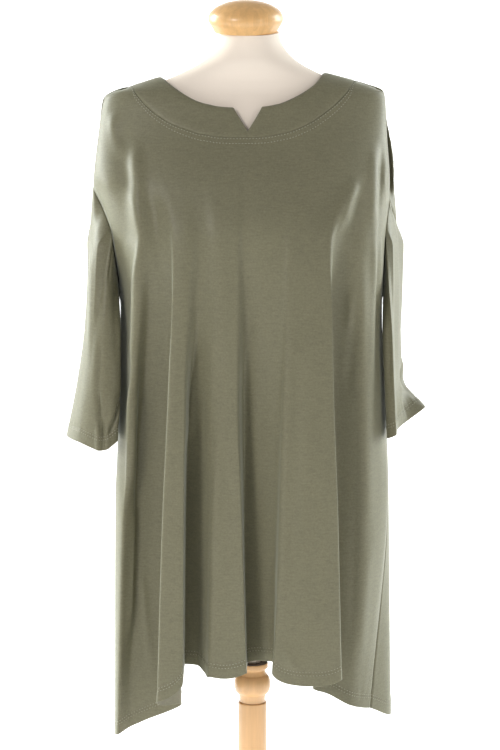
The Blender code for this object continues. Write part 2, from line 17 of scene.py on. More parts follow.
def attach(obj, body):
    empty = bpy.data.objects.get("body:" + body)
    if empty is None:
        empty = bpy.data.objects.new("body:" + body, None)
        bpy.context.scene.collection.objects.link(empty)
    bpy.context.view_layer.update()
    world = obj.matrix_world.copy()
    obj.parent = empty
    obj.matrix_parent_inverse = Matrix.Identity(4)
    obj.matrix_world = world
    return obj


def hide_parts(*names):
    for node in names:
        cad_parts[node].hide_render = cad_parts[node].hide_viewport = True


bl_info = {
    "name": "Trapeze tunic on a dress form",
    "version": (1, 0, 0),
    "blender": (4, 5, 0),
    "location": "3D View > Sidebar > Tunic",
    "description": "Builds a jersey trapeze tunic on a padded dress form, and a plain studio",
    "category": "Object",
}

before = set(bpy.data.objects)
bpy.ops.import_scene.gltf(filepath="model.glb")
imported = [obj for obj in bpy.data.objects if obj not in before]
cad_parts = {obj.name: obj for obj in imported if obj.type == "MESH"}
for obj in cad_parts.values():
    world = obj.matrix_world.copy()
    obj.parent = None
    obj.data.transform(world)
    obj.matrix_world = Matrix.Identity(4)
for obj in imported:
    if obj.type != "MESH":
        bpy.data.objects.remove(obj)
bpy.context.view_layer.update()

MM = 0.001

# Heights at which the fold tables give a line's place, in metres
YOKE_Z = 1.285
CHEST_Z = 1.180
BUST_Z = 1.080
WAIST_Z = 0.950
HIP_Z = 0.800
LEVEL_CLEARANCE = 0.025
CREST_DROP = 0.016
YOKE_BLEND = 0.060
CREST_ROUND = 0.004

# Heights for the sleeve tables
CAP_Z = 1.170
UPPER_Z = 1.045
ELBOW_Z = 0.970

# Mesh steps
ARMHOLE_ROWS = 56
SKIRT_ROWS = 80
SLEEVE_ROWS = 90
HEM_ROWS = 10
BAND_ROWS = 16
SHOULDER_STEPS = 8
FOLD_STEPS = 9
ROW_EASE = 1.5
TURNED_STEPS = 96
FORM_SIDES = 128
FORM_ROWS = 150
MERGE_DISTANCE = 1e-6
TURNED_SHARP = math.radians(38)
COVER_SHARP = math.radians(50)

# How far each column or row beside a seam sinks in, as a share
SIDE_SEAM_SHARES = (1.0, 0.45, 0.1)
ARMHOLE_SEAM_SHARES = (1.0, 0.3)

# Neckline notch and the groove of its seam
NOTCH_CENTRE = -0.007
NOTCH_WIDTH = 0.041
NOTCH_DEPTH = 0.034
NOTCH_CURVE = 0.92
NOTCH_SEAM_WIDTH = 0.0016
NOTCH_SEAM_DEPTH = 0.0009

# Hems and stitches
HEM_BAND = 1.35
HEM_ROW_EASE = 1.6
STITCH_SHARE = 0.30
STITCH_RISE = 0.0001
GROOVE_DEPTH = 0.00045
GROOVE_WIDTH = 0.0035
PUCKER_DEPTH = 0.00032
HEM_LIFT = 0.0003
HEM_LIFT_FADE = 0.004
CREASE_FADE = 0.3

# Long and short puckers along a hem: waves in radians a metre, shift and share
Pucker = namedtuple("Pucker", "wave shift share")
PUCKERS = (Pucker(560, 0.0, 0.55), Pucker(331, 1.7, 0.45))
PUCKER_SPREAD = 2.4

# The jersey's knit: how strongly its yarn is heathered, and its ribs a metre
HEATHER = 1.0
WALES = 900.0

# Dress form and stand
NECK_TOP_Z = 1.485
NECK_CENTRE_X = -0.004
HUB_Z = 0.533
PLATE_TILT = math.radians(12)
TILT_START_Z = 1.430
SHOULDER_ROUNDNESS = 2.2
YOKE_ROUNDNESS = 2.5
GATHER_TOP_Z = 0.625
GATHER_START = 0.05
GATHER_FULL_RADIUS = 0.06
SECOND_GATHERS = 0.35
FEWER_GATHERS = 7
COVER_SEAM_TOP_Z = 1.44
COVER_SEAM_WIDTH = 0.0025
COLLAR_TOP_Z = 0.5325
POST_TOP_Z = 0.4707
REST_GAP = 0.0003

# The paper sweep: it runs flat from the front, bends up and stands behind
SWEEP_FRONT = -4.0
SWEEP_LENGTH = 12.0
SWEEP_HALF_WIDTH = 6.0
SWEEP_FLAT_END = 3.0
SWEEP_RADIUS = 1.5
LIGHT_AIM = (0, 0, 1.0)
CAMERA_X = -0.00375
SENSOR_WIDTH = 36

# The yoke's smooth surface over the shoulders: its half widths and its depths at each height
Section = namedtuple("Section", "z right left back_right back_left front back")
YOKE = (
    Section(1431, 97, 97, 97, 97, 16, 20),
    Section(1421, 133, 130, 133, 130, 36, 38),
    Section(1414, 156, 152, 156, 152, 44, 48),
    Section(1406, 179, 175, 179, 175, 51, 56),
    Section(1394, 217, 197, 217, 197, 58, 67),
    Section(1382, 221, 199, 221, 200, 64, 76),
    Section(1358, 226, 200, 228, 203, 73, 88),
    Section(1327, 231, 201, 234, 209, 86, 99),
    Section(1285, 236, 205, 240, 219, 107, 110),
    Section(1238, 239, 207, 251, 228, 127, 116),
    Section(1181, 239, 207, 255, 231, 141, 118),
)

# One row for each line that the cloth hangs along: a ridge, a hollow or a seam, from wearer's right to left
Fold = namedtuple("Fold", "name top_x top_z x_yoke x_chest x_bust x_waist x_hip x_hem "
                          "y_chest y_bust y_waist y_hip y_hem hem_z")
FRONT = (
    Fold("side_right", -238, 1259, -237, -206, -199, -203, -206, -202, -42, 0, 0, 0, 0, 433),
    Fold("turn_right", -229, 1334, -212, -180, -182, -190, -205, -208, -80, -56, -44, -42, -54, 438),
    Fold("ridge_a", -220, 1390, -184, -160, -164, -175, -188, -200, -113, -100, -90, -86, -80, 444),
    Fold("foot_a", -181, 1406, -165, -146, -150, -160, -174, -182, -114, -92, -76, -68, -66, 452),
    Fold("recess_a", -171, 1392, -152, -135, -136, -142, -153, -160, -116, -96, -77, -66, -70, 463),
    Fold("foot_b", -160, 1379, -137, -118, -115, -117, -119, -106, -127, -108, -90, -84, -88, 492),
    Fold("ridge_b", -150, 1369, -129, -112, -115, -121, -129, -139, -133, -138, -143, -149, -154, 510),
    Fold("edge_b", -121, 1349, -106, -90, -95, -98, -99, -101, -136, -142, -149, -156, -160, 535),
    Fold("hollow_b", -87, 1336, -84, -75, -78, -91, -97, -100, -134, -129, -111, -101, -98, 556),
    Fold("floor_b", -76, 1333, -74, -65, -66, -75, -78, -82, -135, -133, -122, -116, -106, 557),
    Fold("foot_c", -63, 1331, -60, -53, -54, -58, -64, -70, -138, -139, -137, -134, -126, 551),
    Fold("ridge_c", -52, 1329, -50, -44, -45, -47, -54, -62, -139, -141, -142, -143, -145, 546),
    Fold("edge_c", -27, 1328, -26, -24, -23, -23, -17, -9, -140, -143, -147, -149, -150, 547),
    Fold("hollow_c", -7, 1328, -8, -11, -7, -12, -12, -8, -137, -130, -114, -106, -101, 559),
    Fold("hollow_d", 18, 1329, 22, 16, 18, 14, 10, 10, -138, -136, -126, -119, -108, 564),
    Fold("foot_d", 35, 1332, 44, 44, 43, 39, 35, 31, -139, -142, -142, -138, -120, 565),
    Fold("ridge_d", 50, 1335, 60, 53, 51, 47, 43, 28, -140, -145, -150, -155, -158, 551),
    Fold("middle_d", 83, 1349, 97, 82, 82, 80, 78, 74, -138, -146, -154, -161, -168, 543),
    Fold("ridge_e", 124, 1379, 139, 109, 113, 116, 122, 129, -137, -145, -151, -156, -158, 541),
    Fold("foot_e", 138, 1394, 148, 118, 111, 112, 112, 90, -124, -110, -97, -92, -97, 519),
    Fold("hollow_e", 153, 1414, 157, 133, 128, 126, 128, 112, -109, -99, -89, -85, -91, 509),
    Fold("panel_e", 170, 1409, 165, 153, 156, 158, 158, 142, -102, -97, -91, -87, -88, 492),
    Fold("ridge_f", 195, 1397, 176, 173, 181, 191, 194, 162, -86, -62, -44, -48, -74, 483),
    Fold("turn_left", 199, 1339, 193, 191, 191, 196, 203, 170, -58, -32, -22, -28, -66, 480),
    Fold("side_left", 205, 1238, 205, 197, 195, 200, 205, 177, -28, 0, 0, -12, -59, 478),
)
BACK = (
    Fold("side_right", -238, 1259, -237, -234, -199, -203, -206, -202, 35, 0, 0, 0, 0, 433),
    Fold("turn_right", -229, 1334, -232, -221, -196, -201, -206, -204, 68, 40, 32, 32, 34, 441),
    Fold("ridge_g", -220, 1390, -207, -183, -174, -181, -192, -189, 92, 78, 74, 80, 92, 456),
    Fold("hollow_g", -181, 1406, -167, -146, -146, -150, -155, -154, 104, 92, 78, 72, 76, 477),
    Fold("ridge_h", -148, 1387, -135, -120, -121, -128, -134, -137, 112, 114, 121, 134, 150, 501),
    Fold("hollow_h", -107, 1369, -99, -91, -90, -89, -86, -84, 114, 108, 101, 99, 106, 521),
    Fold("ridge_i", -65, 1359, -63, -61, -60, -60, -59, -56, 118, 119, 121, 131, 142, 534),
    Fold("hollow_i", -34, 1355, -32, -30, -28, -25, -22, -19, 118, 112, 106, 107, 114, 544),
    Fold("ridge_j", -3, 1354, 0, 4, 6, 11, 15, 19, 119, 120, 124, 141, 160, 541),
    Fold("hollow_j", 34, 1357, 35, 38, 40, 46, 51, 55, 117, 110, 99, 95, 99, 538),
    Fold("ridge_k", 71, 1367, 72, 76, 78, 85, 91, 99, 116, 117, 118, 128, 143, 522),
    Fold("hollow_k", 112, 1385, 107, 111, 113, 120, 127, 135, 108, 100, 91, 90, 98, 502),
    Fold("ridge_l", 153, 1414, 145, 146, 147, 153, 162, 174, 99, 97, 98, 112, 130, 484),
    Fold("hollow_l", 170, 1409, 167, 166, 165, 169, 178, 193, 88, 77, 68, 68, 76, 469),
    Fold("ridge_m", 195, 1397, 195, 189, 180, 186, 201, 216, 72, 52, 48, 54, 50, 458),
    Fold("turn_back_left", 199, 1339, 213, 211, 195, 201, 208, 212, 54, 36, 20, 18, -14, 455),
    Fold("side_left", 205, 1238, 205, 221, 195, 200, 205, 177, 36, 0, 0, -12, -59, 478),
)
FRONT_CORNERS = (3, 20)
BACK_CORNERS = (3, 12)

# The neck edge, from wearer's right to left, across the front without its notch and across the back
EdgePoint = namedtuple("EdgePoint", "along x z")
NECK_FRONT = (
    EdgePoint(0.0, -136, 1420),
    EdgePoint(3.0, -109, 1398),
    EdgePoint(4.0, -82, 1382),
    EdgePoint(5.0, -66, 1377),
    EdgePoint(8.0, -45, 1373),
    EdgePoint(9.0, -27, 1372),
    EdgePoint(10.0, -7, 1372),
    EdgePoint(11.0, 13, 1373),
    EdgePoint(13.0, 37, 1377),
    EdgePoint(14.0, 65, 1389),
    EdgePoint(15.0, 91, 1407),
    EdgePoint(17.0, 106, 1426),
)
NECK_BACK = (
    EdgePoint(0.0, -136, 1420),
    EdgePoint(1.5, -105, 1408),
    EdgePoint(3.0, -65, 1401),
    EdgePoint(4.5, -20, 1399),
    EdgePoint(6.0, 26, 1401),
    EdgePoint(7.5, 71, 1409),
    EdgePoint(9.0, 106, 1426),
)

# One row for each line down a sleeve
# around is 0 at the shoulder, 1 at the underarm and 2 back at the shoulder
SleeveLine = namedtuple(
    "SleeveLine", "around x_cap y_cap x_upper y_upper x_elbow y_elbow x_cuff y_cuff cuff_z")
SLEEVE_RIGHT = (
    SleeveLine(0.00, -245, 6, -253, 4, -264, 4, -281, 0, 885),
    SleeveLine(0.25, -235, -38, -242, -46, -249, -50, -258, -52, 881),
    SleeveLine(0.50, -214, -60, -217, -68, -221, -72, -222, -74, 871),
    SleeveLine(0.75, -204, -52, -194, -56, -194, -61, -199, -66, 885),
    SleeveLine(1.00, -206, 0, -207, 0, -210, -4, -213, -8, 884),
    SleeveLine(1.25, -215, 46, -213, 44, -217, 46, -221, 48, 887),
    SleeveLine(1.50, -242, 52, -236, 60, -240, 66, -248, 68, 891),
    SleeveLine(1.75, -251, 38, -248, 46, -258, 50, -273, 48, 889),
)
SLEEVE_LEFT = (
    SleeveLine(0.00, 219, 10, 222, 12, 222, 10, 234, 8, 904),
    SleeveLine(0.25, 208, -26, 209, -29, 213, -29, 217, -27, 896),
    SleeveLine(0.50, 203, -48, 205, -58, 208, -60, 212, -60, 892),
    SleeveLine(0.75, 196, -40, 192, -43, 195, -46, 200, -48, 886),
    SleeveLine(1.00, 199, 0, 206, 0, 208, -4, 210, -4, 892),
    SleeveLine(1.25, 206, 40, 206, 40, 209, 42, 216, 46, 904),
    SleeveLine(1.50, 221, 56, 215, 64, 218, 68, 248, 64, 919),
    SleeveLine(1.75, 230, 40, 228, 44, 229, 44, 265, 34, 923),
)

# Creases of a panel: a soft trough (depth below 0) or ridge from one place to another, in width and height
Crease = namedtuple("Crease", "x_top z_top x_low z_low bend depth width")
FRONT_CREASES = (
    Crease(-205, 1372, -186, 1292, 4, 4.0, 9),
    Crease(-197, 1360, -170, 1235, 6, -3.0, 11),
    Crease(-171, 1330, -160, 1180, 0, 5.5, 11),
    Crease(-164, 1190, -173, 960, 2, 6.0, 5),
    Crease(-171, 1010, -181, 780, 2, 9.0, 5),
    Crease(-179, 840, -187, 560, -2, 8.0, 5),
    Crease(-182, 1010, -190, 760, 3, -3.0, 6),
    Crease(-164, 700, -148, 520, 2, 2.6, 5),
    Crease(-140, 1245, -131, 1100, 2, -1.8, 10),
    Crease(-84, 1010, -95, 880, -2, 2.6, 6),
    Crease(-72, 1000, -80, 800, 3, -1.8, 8),
    Crease(-112, 1060, -116, 860, 0, 1.2, 9),
    Crease(-47, 930, -55, 690, 2, 1.6, 7),
    Crease(-36, 900, -44, 640, -2, -1.8, 8),
    Crease(-6, 1170, -5, 1010, 0, -2.0, 9),
    Crease(4, 1040, 8, 760, 3, 1.4, 7),
    Crease(57, 1085, 40, 620, 3, 2.2, 8),
    Crease(66, 1030, 52, 690, -3, -1.4, 10),
    Crease(108, 860, 106, 560, 2, 1.2, 7),
    Crease(42, 610, 74, 548, 2, 1.6, 6),
    Crease(152, 1275, 128, 1190, 4, 4.5, 10),
    Crease(166, 1268, 140, 1150, 3, -3.0, 10),
    Crease(143, 1110, 140, 1045, 0, 3.2, 6),
    Crease(150, 1120, 137, 950, -3, -2.4, 7),
    Crease(178, 1330, 176, 1180, 3, 2.4, 8),
    Crease(190, 1330, 187, 1130, 0, -5.0, 5),
    Crease(185, 1210, 181, 930, 0, -3.0, 4),
    Crease(178, 1210, 174, 930, 0, 3.0, 5),
    Crease(168, 980, 172, 730, 2, 1.8, 9),
    Crease(150, 820, 148, 560, -2, -1.6, 8),
    Crease(176, 760, 160, 540, 3, 1.6, 9),
)
BACK_CREASES = (
    Crease(-196, 1340, -178, 1190, 5, 3.0, 10),
    Crease(-160, 1290, -150, 1090, 2, -2.2, 11),
    Crease(-168, 980, -176, 700, 3, 2.0, 9),
    Crease(-106, 1120, -108, 860, -3, 2.2, 8),
    Crease(-76, 1030, -74, 700, 3, -1.8, 9),
    Crease(-44, 960, -40, 640, 2, 1.8, 8),
    Crease(-8, 1140, -2, 900, -2, -2.0, 9),
    Crease(28, 980, 34, 660, 3, 1.8, 8),
    Crease(62, 1060, 70, 780, -2, -1.6, 9),
    Crease(104, 960, 112, 650, 3, 2.0, 8),
    Crease(134, 1180, 140, 930, 2, -2.2, 10),
    Crease(172, 1290, 168, 1100, -4, 2.6, 10),
    Crease(190, 940, 198, 660, 3, 1.8, 9),
)
# Creases of a sleeve, its places given round the sleeve as in the sleeve tables
SleeveCrease = namedtuple("SleeveCrease", "around_top z_top around_low z_low depth width")
RIGHT_SLEEVE_CREASES = (
    SleeveCrease(0.46, 1.040, 0.45, 0.930, -3.0, 6),
    SleeveCrease(0.44, 0.965, 0.51, 0.885, -6.5, 4),
    SleeveCrease(0.82, 0.965, 0.53, 0.882, -6.5, 4),
    SleeveCrease(0.62, 0.965, 0.60, 0.900, 3.0, 9),
    SleeveCrease(0.46, 0.920, 0.46, 0.845, 3.6, 4),
    SleeveCrease(0.51, 0.925, 0.51, 0.845, -5.0, 3.5),
    SleeveCrease(0.57, 0.920, 0.57, 0.845, 3.6, 4),
    SleeveCrease(0.47, 1.180, 0.48, 1.110, -2.2, 5),
    SleeveCrease(0.22, 1.190, 0.30, 0.990, 2.0, 11),
    SleeveCrease(0.62, 1.150, 0.66, 0.980, -2.2, 10),
    SleeveCrease(1.30, 1.190, 1.36, 0.960, 2.6, 12),
    SleeveCrease(1.52, 1.160, 1.56, 0.930, -2.6, 11),
    SleeveCrease(1.78, 1.120, 1.72, 0.930, 2.0, 10),
)
LEFT_SLEEVE_CREASES = (
    SleeveCrease(0.30, 1.190, 0.34, 0.960, 2.0, 10),
    SleeveCrease(0.58, 1.130, 0.60, 0.940, -2.2, 9),
    SleeveCrease(1.78, 1.000, 1.66, 0.950, 3.0, 7),
    SleeveCrease(1.90, 0.990, 1.80, 0.940, -3.0, 8),
    SleeveCrease(1.60, 1.150, 1.58, 1.010, 2.2, 10),
    SleeveCrease(1.36, 1.160, 1.40, 0.960, -2.4, 11),
    SleeveCrease(1.70, 1.080, 1.86, 1.010, -2.0, 9),
)

# Ends of folds that roll round at the hem: how far each lifts the edge, over which share of a fold
HemTurn = namedtuple("HemTurn", "line rise spread")
FRONT_HEM_TURNS = (
    HemTurn("ridge_b", 4, 0.30),
    HemTurn("edge_b", 8, 0.35),
    HemTurn("ridge_c", 4, 0.35),
    HemTurn("edge_c", 10, 0.38),
    HemTurn("ridge_d", 8, 0.35),
    HemTurn("ridge_e", 9, 0.38),
)

# The rectangle that each piece is cut from
Cut = namedtuple("Cut", "width length")

# The torso's sections, each an oval with its own half width, front depth and back depth
TorsoSection = namedtuple("TorsoSection", "z half_width front back")
TORSO = (
    TorsoSection(1485, 43, 44, 44),
    TorsoSection(1471, 46, 45, 46),
    TorsoSection(1454, 57, 47, 49),
    TorsoSection(1440, 73, 49, 50),
    TorsoSection(1426, 99, 48, 49),
    TorsoSection(1412, 131, 46, 47),
    TorsoSection(1398, 162, 47, 51),
    TorsoSection(1382, 180, 53, 60),
    TorsoSection(1353, 188, 65, 73),
    TorsoSection(1314, 190, 80, 87),
    TorsoSection(1260, 185, 101, 95),
    TorsoSection(1201, 176, 121, 96),
    TorsoSection(1151, 168, 129, 93),
    TorsoSection(1081, 154, 118, 84),
    TorsoSection(1010, 142, 100, 76),
    TorsoSection(950, 138, 92, 74),
    TorsoSection(879, 150, 94, 82),
    TorsoSection(797, 166, 96, 86),
    TorsoSection(714, 168, 90, 86),
    TorsoSection(652, 156, 84, 80),
    TorsoSection(619, 134, 72, 78),
    TorsoSection(596, 98, 54, 58),
    TorsoSection(577, 50, 34, 36),
    TorsoSection(554, 20, 19, 19),
    TorsoSection(533, 12, 12, 12),
)


# Settings

class TunicSettings(bpy.types.PropertyGroup):
    """Sizes and colours of the tunic."""
    body_cloth: FloatProperty(name="Body cloth", description="Thickness of the jersey", default=0.0011,
                              unit="LENGTH")
    band_cloth: FloatProperty(name="Band cloth", description="Thickness of the doubled neckband",
                              default=0.0021, unit="LENGTH")
    band_proud: FloatProperty(name="Band proud", description="How far the neckband stands out",
                              default=0.0007, unit="LENGTH")
    hem_roll: FloatProperty(name="Hem roll", description="Height over which a fold's end rolls round",
                            default=0.050, unit="LENGTH")
    hem_depth: FloatProperty(name="Hem depth", description="Depth of the turned-up hems", default=0.020,
                             unit="LENGTH")
    seam_dip: FloatProperty(name="Seam dip", description="How far the cloth sinks in at a seam",
                            default=0.0007, unit="LENGTH")
    stitch_length: FloatProperty(name="Stitch length", description="Length of one stitch", default=0.0046,
                                 unit="LENGTH")
    thread: FloatProperty(name="Thread", description="Thickness of the sewing thread", default=0.0011,
                          unit="LENGTH")
    row_gap: FloatProperty(name="Row gap", description="Gap between the two rows of a twin-needle seam",
                           default=0.0045, unit="LENGTH")
    band_row_top: FloatProperty(name="Band row top", description="Drop from the neckband to its upper row",
                                default=0.0018, unit="LENGTH")
    band_row_low: FloatProperty(name="Band row low", description="Drop from the neckband to its lower row",
                                default=0.0095, unit="LENGTH")
    cloth_colour: FloatVectorProperty(name="Cloth", description="Colour of the jersey", subtype="COLOR",
                                      default=(0.158, 0.149, 0.094), size=3, min=0, max=1)
    thread_colour: FloatVectorProperty(name="Thread colour", description="Colour of the thread",
                                       subtype="COLOR", default=(0.33, 0.32, 0.25), size=3, min=0, max=1)


class FormSettings(bpy.types.PropertyGroup):
    """Sizes and colours of the padded form."""
    gathers: IntProperty(name="Gathers", description="Gathers of the cover at the hub", default=26, min=8)
    gather_depth: FloatProperty(name="Gather depth", description="Depth of the cover's gathers",
                                default=0.0022, unit="LENGTH")
    seam_dip: FloatProperty(name="Seam dip", description="How far the cover sinks in at its seams",
                            default=0.0008, unit="LENGTH")
    cover_colour: FloatVectorProperty(name="Cover", description="Colour of the cover", subtype="COLOR",
                                      default=(0.78, 0.69, 0.60), size=3, min=0, max=1)


class StandSettings(bpy.types.PropertyGroup):
    """Sizes and colours of the wooden cap and stand."""
    cap_radius: FloatProperty(name="Cap radius", description="Largest radius of the neck cap", default=0.0555,
                              unit="LENGTH")
    cap_height: FloatProperty(name="Cap height", description="Height of the neck cap", default=0.046,
                              unit="LENGTH")
    post_radius: FloatProperty(name="Post radius", description="Radius of the post", default=0.022,
                               unit="LENGTH")
    base_radius: FloatProperty(name="Base radius", description="Radius of the base", default=0.170,
                               unit="LENGTH")
    base_height: FloatProperty(name="Base height", description="Height of the base", default=0.030,
                               unit="LENGTH")
    wood_colour: FloatVectorProperty(name="Wood", description="Colour of the turned wood", subtype="COLOR",
                                     default=(0.74, 0.44, 0.205), size=3, min=0, max=1)
    cap_colour: FloatVectorProperty(name="Cap wood", description="Colour of the cap's wood", subtype="COLOR",
                                    default=(0.68, 0.40, 0.16), size=3, min=0, max=1)


class StudioSettings(bpy.types.PropertyGroup):
    """The plain studio round the object."""
    lens: FloatProperty(name="Lens", description="Focal length in millimetres", default=83.2)
    camera_distance: FloatProperty(name="Camera distance", description="Distance in front of the form",
                                   default=2.6, unit="LENGTH")
    camera_height: FloatProperty(name="Camera height", description="Height of the camera", default=1.2545,
                                 unit="LENGTH")
    camera_tilt: FloatProperty(name="Camera tilt", description="Downward tilt of the camera",
                               default=math.radians(6.125), subtype="ANGLE")
    key_power: FloatProperty(name="Key power", description="Power of the front light on the right",
                             default=117.0)
    fill_power: FloatProperty(name="Fill power", description="Power of the front light on the left",
                              default=38.0)
    rim_power: FloatProperty(name="Rim power", description="Power of each light beside and behind the form",
                             default=195.0)
    sky: FloatProperty(name="Sky", description="Strength of the even white surround", default=0.30)
    glow: FloatProperty(name="Glow", description="How much the white paper itself glows", default=0.60)


def tunic():
    return bpy.context.scene.tunic_settings


def form():
    return bpy.context.scene.form_settings


def stand():
    return bpy.context.scene.stand_settings


def studio():
    return bpy.context.scene.studio_settings


# Cloth surfaces

def smooth(at, places, values):
    """Value at a place on a smooth curve through the given values, which never swings past them."""
    places = np.asarray(places, float)
    values = np.asarray(values, float)
    if places[0] > places[-1]:
        places, values = places[::-1], values[::-1]
    gaps = np.diff(places)
    rises = np.diff(values) / gaps
    slopes = np.empty(len(values))
    slopes[0], slopes[-1] = rises[0], rises[-1]
    before, after = rises[:-1], rises[1:]
    agree = before * after > 0
    total = np.where(agree, before + after, 1.0)
    slopes[1:-1] = np.where(agree, 2 * before * after / total, 0.0)
    at = np.clip(at, places[0], places[-1])
    i = np.clip(np.searchsorted(places, at) - 1, 0, len(gaps) - 1)
    t = (at - places[i]) / gaps[i]
    start = (1 + 2 * t) * (1 - t) ** 2 * values[i] + t * (1 - t) ** 2 * gaps[i] * slopes[i]
    end = t * t * (3 - 2 * t) * values[i + 1] + t * t * (t - 1) * gaps[i] * slopes[i + 1]
    return start + end


def ease(share):
    """A soft step from 0 to 1."""
    share = np.clip(share, 0, 1)
    return share * share * (3 - 2 * share)


def yoke_y(x, z, back):
    """Depth of the yoke's surface at places; 0 along the shoulder line."""
    x, z = np.broadcast_arrays(np.asarray(x, float), np.asarray(z, float))
    heights = [row.z * MM for row in YOKE]
    prefix = "back_" if back else ""
    right = smooth(z, heights, [getattr(row, prefix + "right") * MM for row in YOKE])
    left = smooth(z, heights, [getattr(row, prefix + "left") * MM for row in YOKE])
    depth = smooth(z, heights, [(row.back if back else row.front) * MM for row in YOKE])
    share = np.minimum(np.abs(x) / np.where(x < 0, right, left), 1.0)
    y = depth * (1 - share ** YOKE_ROUNDNESS) ** (1 / YOKE_ROUNDNESS)
    return y if back else -y


def armhole_shares():
    """Shares of the way down the armhole at which its rows lie, closest together at the shoulder."""
    return (np.arange(ARMHOLE_ROWS + 1) / ARMHOLE_ROWS) ** ROW_EASE


def hem_heights(top_z, hem_z, rows):
    """Heights of the rows down to a hem, with closer rows in the turned-up part."""
    turn_z = hem_z + HEM_BAND * tunic().hem_depth
    body = np.linspace(top_z, turn_z, rows + 1)[1:]
    hem = turn_z + (hem_z - turn_z) * ease_out(np.linspace(0, 1, HEM_ROWS + 1)[1:])
    return np.concatenate([body, hem])


def ease_out(share):
    """A step that closes up towards its end."""
    return 1 - (1 - share) ** HEM_ROW_EASE


def fold_column(fold, on_shoulder, back):
    """Points down one line, from the yoke's top edge to the hem; a shoulder seam lies at y 0."""
    top_x, top_z, hem_z = fold.top_x * MM, fold.top_z * MM, fold.hem_z * MM
    levels = ((YOKE_Z, fold.x_yoke), (CHEST_Z, fold.x_chest), (BUST_Z, fold.x_bust),
              (WAIST_Z, fold.x_waist), (HIP_Z, fold.x_hip), (hem_z, fold.x_hem))
    heights = [top_z] + [z for z, _ in levels if z < top_z - LEVEL_CLEARANCE]
    across = [top_x] + [x * MM for z, x in levels if z < top_z - LEVEL_CLEARANCE]
    depths = ((CHEST_Z, fold.y_chest), (BUST_Z, fold.y_bust), (WAIST_Z, fold.y_waist),
              (HIP_Z, fold.y_hip), (hem_z, fold.y_hem))
    deep_heights = [top_z]
    deep = [0.0 if on_shoulder else float(yoke_y(top_x, top_z, back))]
    for z in (top_z - CREST_DROP, 0.5 * (top_z - CREST_DROP + YOKE_Z), YOKE_Z):
        if YOKE_Z - MM < z and top_z > YOKE_Z + 2 * CREST_DROP:
            deep_heights.append(z)
            deep.append(float(yoke_y(smooth(z, heights, across), z, back)))
    deep_heights += [z for z, _ in depths]
    deep += [y * MM for _, y in depths]
    upper = top_z + (BUST_Z - top_z) * armhole_shares()
    column = np.concatenate([upper, hem_heights(BUST_Z, hem_z, SKIRT_ROWS)])
    return np.stack([smooth(column, heights, across), smooth(column, deep_heights, deep), column], axis=1)


def column_places(count, corners):
    """Places of a panel's columns, counted in fold lines from the wearer's right."""
    across = []
    for i in range(count - 1):
        steps = FOLD_STEPS if corners[0] <= i < corners[1] else SHOULDER_STEPS
        across += [i + k / steps for k in range(steps)]
    return np.array(across + [count - 1.0])


def lay_on_yoke(grid, on_band, back):
    """Lays the upper part of a panel on the yoke's smooth surface."""
    on_yoke = ease((grid[..., 2] - YOKE_Z + YOKE_BLEND) / YOKE_BLEND)
    crest = np.sqrt(np.clip((grid[:1, :, 2] - grid[..., 2]) / CREST_ROUND, 0, 1))
    crest[:, on_band] = 1
    direct = yoke_y(grid[..., 0], grid[..., 2], back) * crest
    grid[..., 1] += on_yoke * (direct - grid[..., 1])


def panel_points(folds, corners, back):
    """Grid of points over a body panel, its columns smoothed across from fold line to fold line."""
    lines = np.array([fold_column(fold, not corners[0] < i < corners[1], back)
                      for i, fold in enumerate(folds)])
    places = np.arange(len(folds))
    across = column_places(len(folds), corners)
    grid = np.empty((lines.shape[1], len(across), 3))
    for row in range(lines.shape[1]):
        for axis in range(3):
            grid[row, :, axis] = smooth(across, places, lines[:, row, axis])
    for start, end in ((0, corners[0]), corners, (corners[1], len(folds) - 1)):
        part = (across >= start) & (across <= end)
        for axis in range(3):
            grid[0, part, axis] = smooth(across[part], places[start:end + 1], lines[start:end + 1, 0, axis])
    lay_on_yoke(grid, (across > corners[0]) & (across < corners[1]), back)
    return grid


def corner_columns(corners):
    """Columns at which the neckband starts and ends."""
    first = corners[0] * SHOULDER_STEPS
    return first, first + (corners[1] - corners[0]) * FOLD_STEPS


def line_column(name):
    """Column of the front's grid that follows the named fold line."""
    line = [fold.name for fold in FRONT].index(name)
    first, last = FRONT_CORNERS
    inner = min(max(line - first, 0), last - first)
    return inner * FOLD_STEPS + (line - inner) * SHOULDER_STEPS


def round_hem(grid, turns):
    """Lifts the hem's edge where a fold rolls under, so that the fold has a round end."""
    near = ease(1 - (grid[..., 2] - grid[-1:, :, 2]) / tunic().hem_roll)
    columns = np.arange(grid.shape[1])
    for turn in turns:
        off = (columns - line_column(turn.line)) / (FOLD_STEPS * turn.spread)
        grid[..., 2] += turn.rise * MM * np.exp(-off ** 2) * near


def band_points(panel, corners, edge, back):
    """Grid over a neckband, from the neck edge to the panel's top edge."""
    first, last = corner_columns(corners)
    seam = panel[0, first:last + 1]
    along = np.linspace(0, edge[-1].along, len(seam))
    places = [row.along for row in edge]
    neck_x = smooth(along, places, [row.x * MM for row in edge])
    neck_z = smooth(along, places, [row.z * MM for row in edge])
    if not back:
        away = np.abs(neck_x - NOTCH_CENTRE) / (NOTCH_WIDTH / 2)
        neck_z = neck_z - NOTCH_DEPTH * np.clip(1 - away, 0, 1) ** NOTCH_CURVE
    share = (np.arange(BAND_ROWS + 1) / BAND_ROWS)[:, None]
    x = (1 - share) * neck_x + share * seam[:, 0]
    z = (1 - share) * neck_z + share * seam[:, 2]
    grid = np.stack([x, yoke_y(x, z, back), z], axis=2)
    grid[-1] = seam
    grid[:, (0, -1), 1] = 0
    return grid


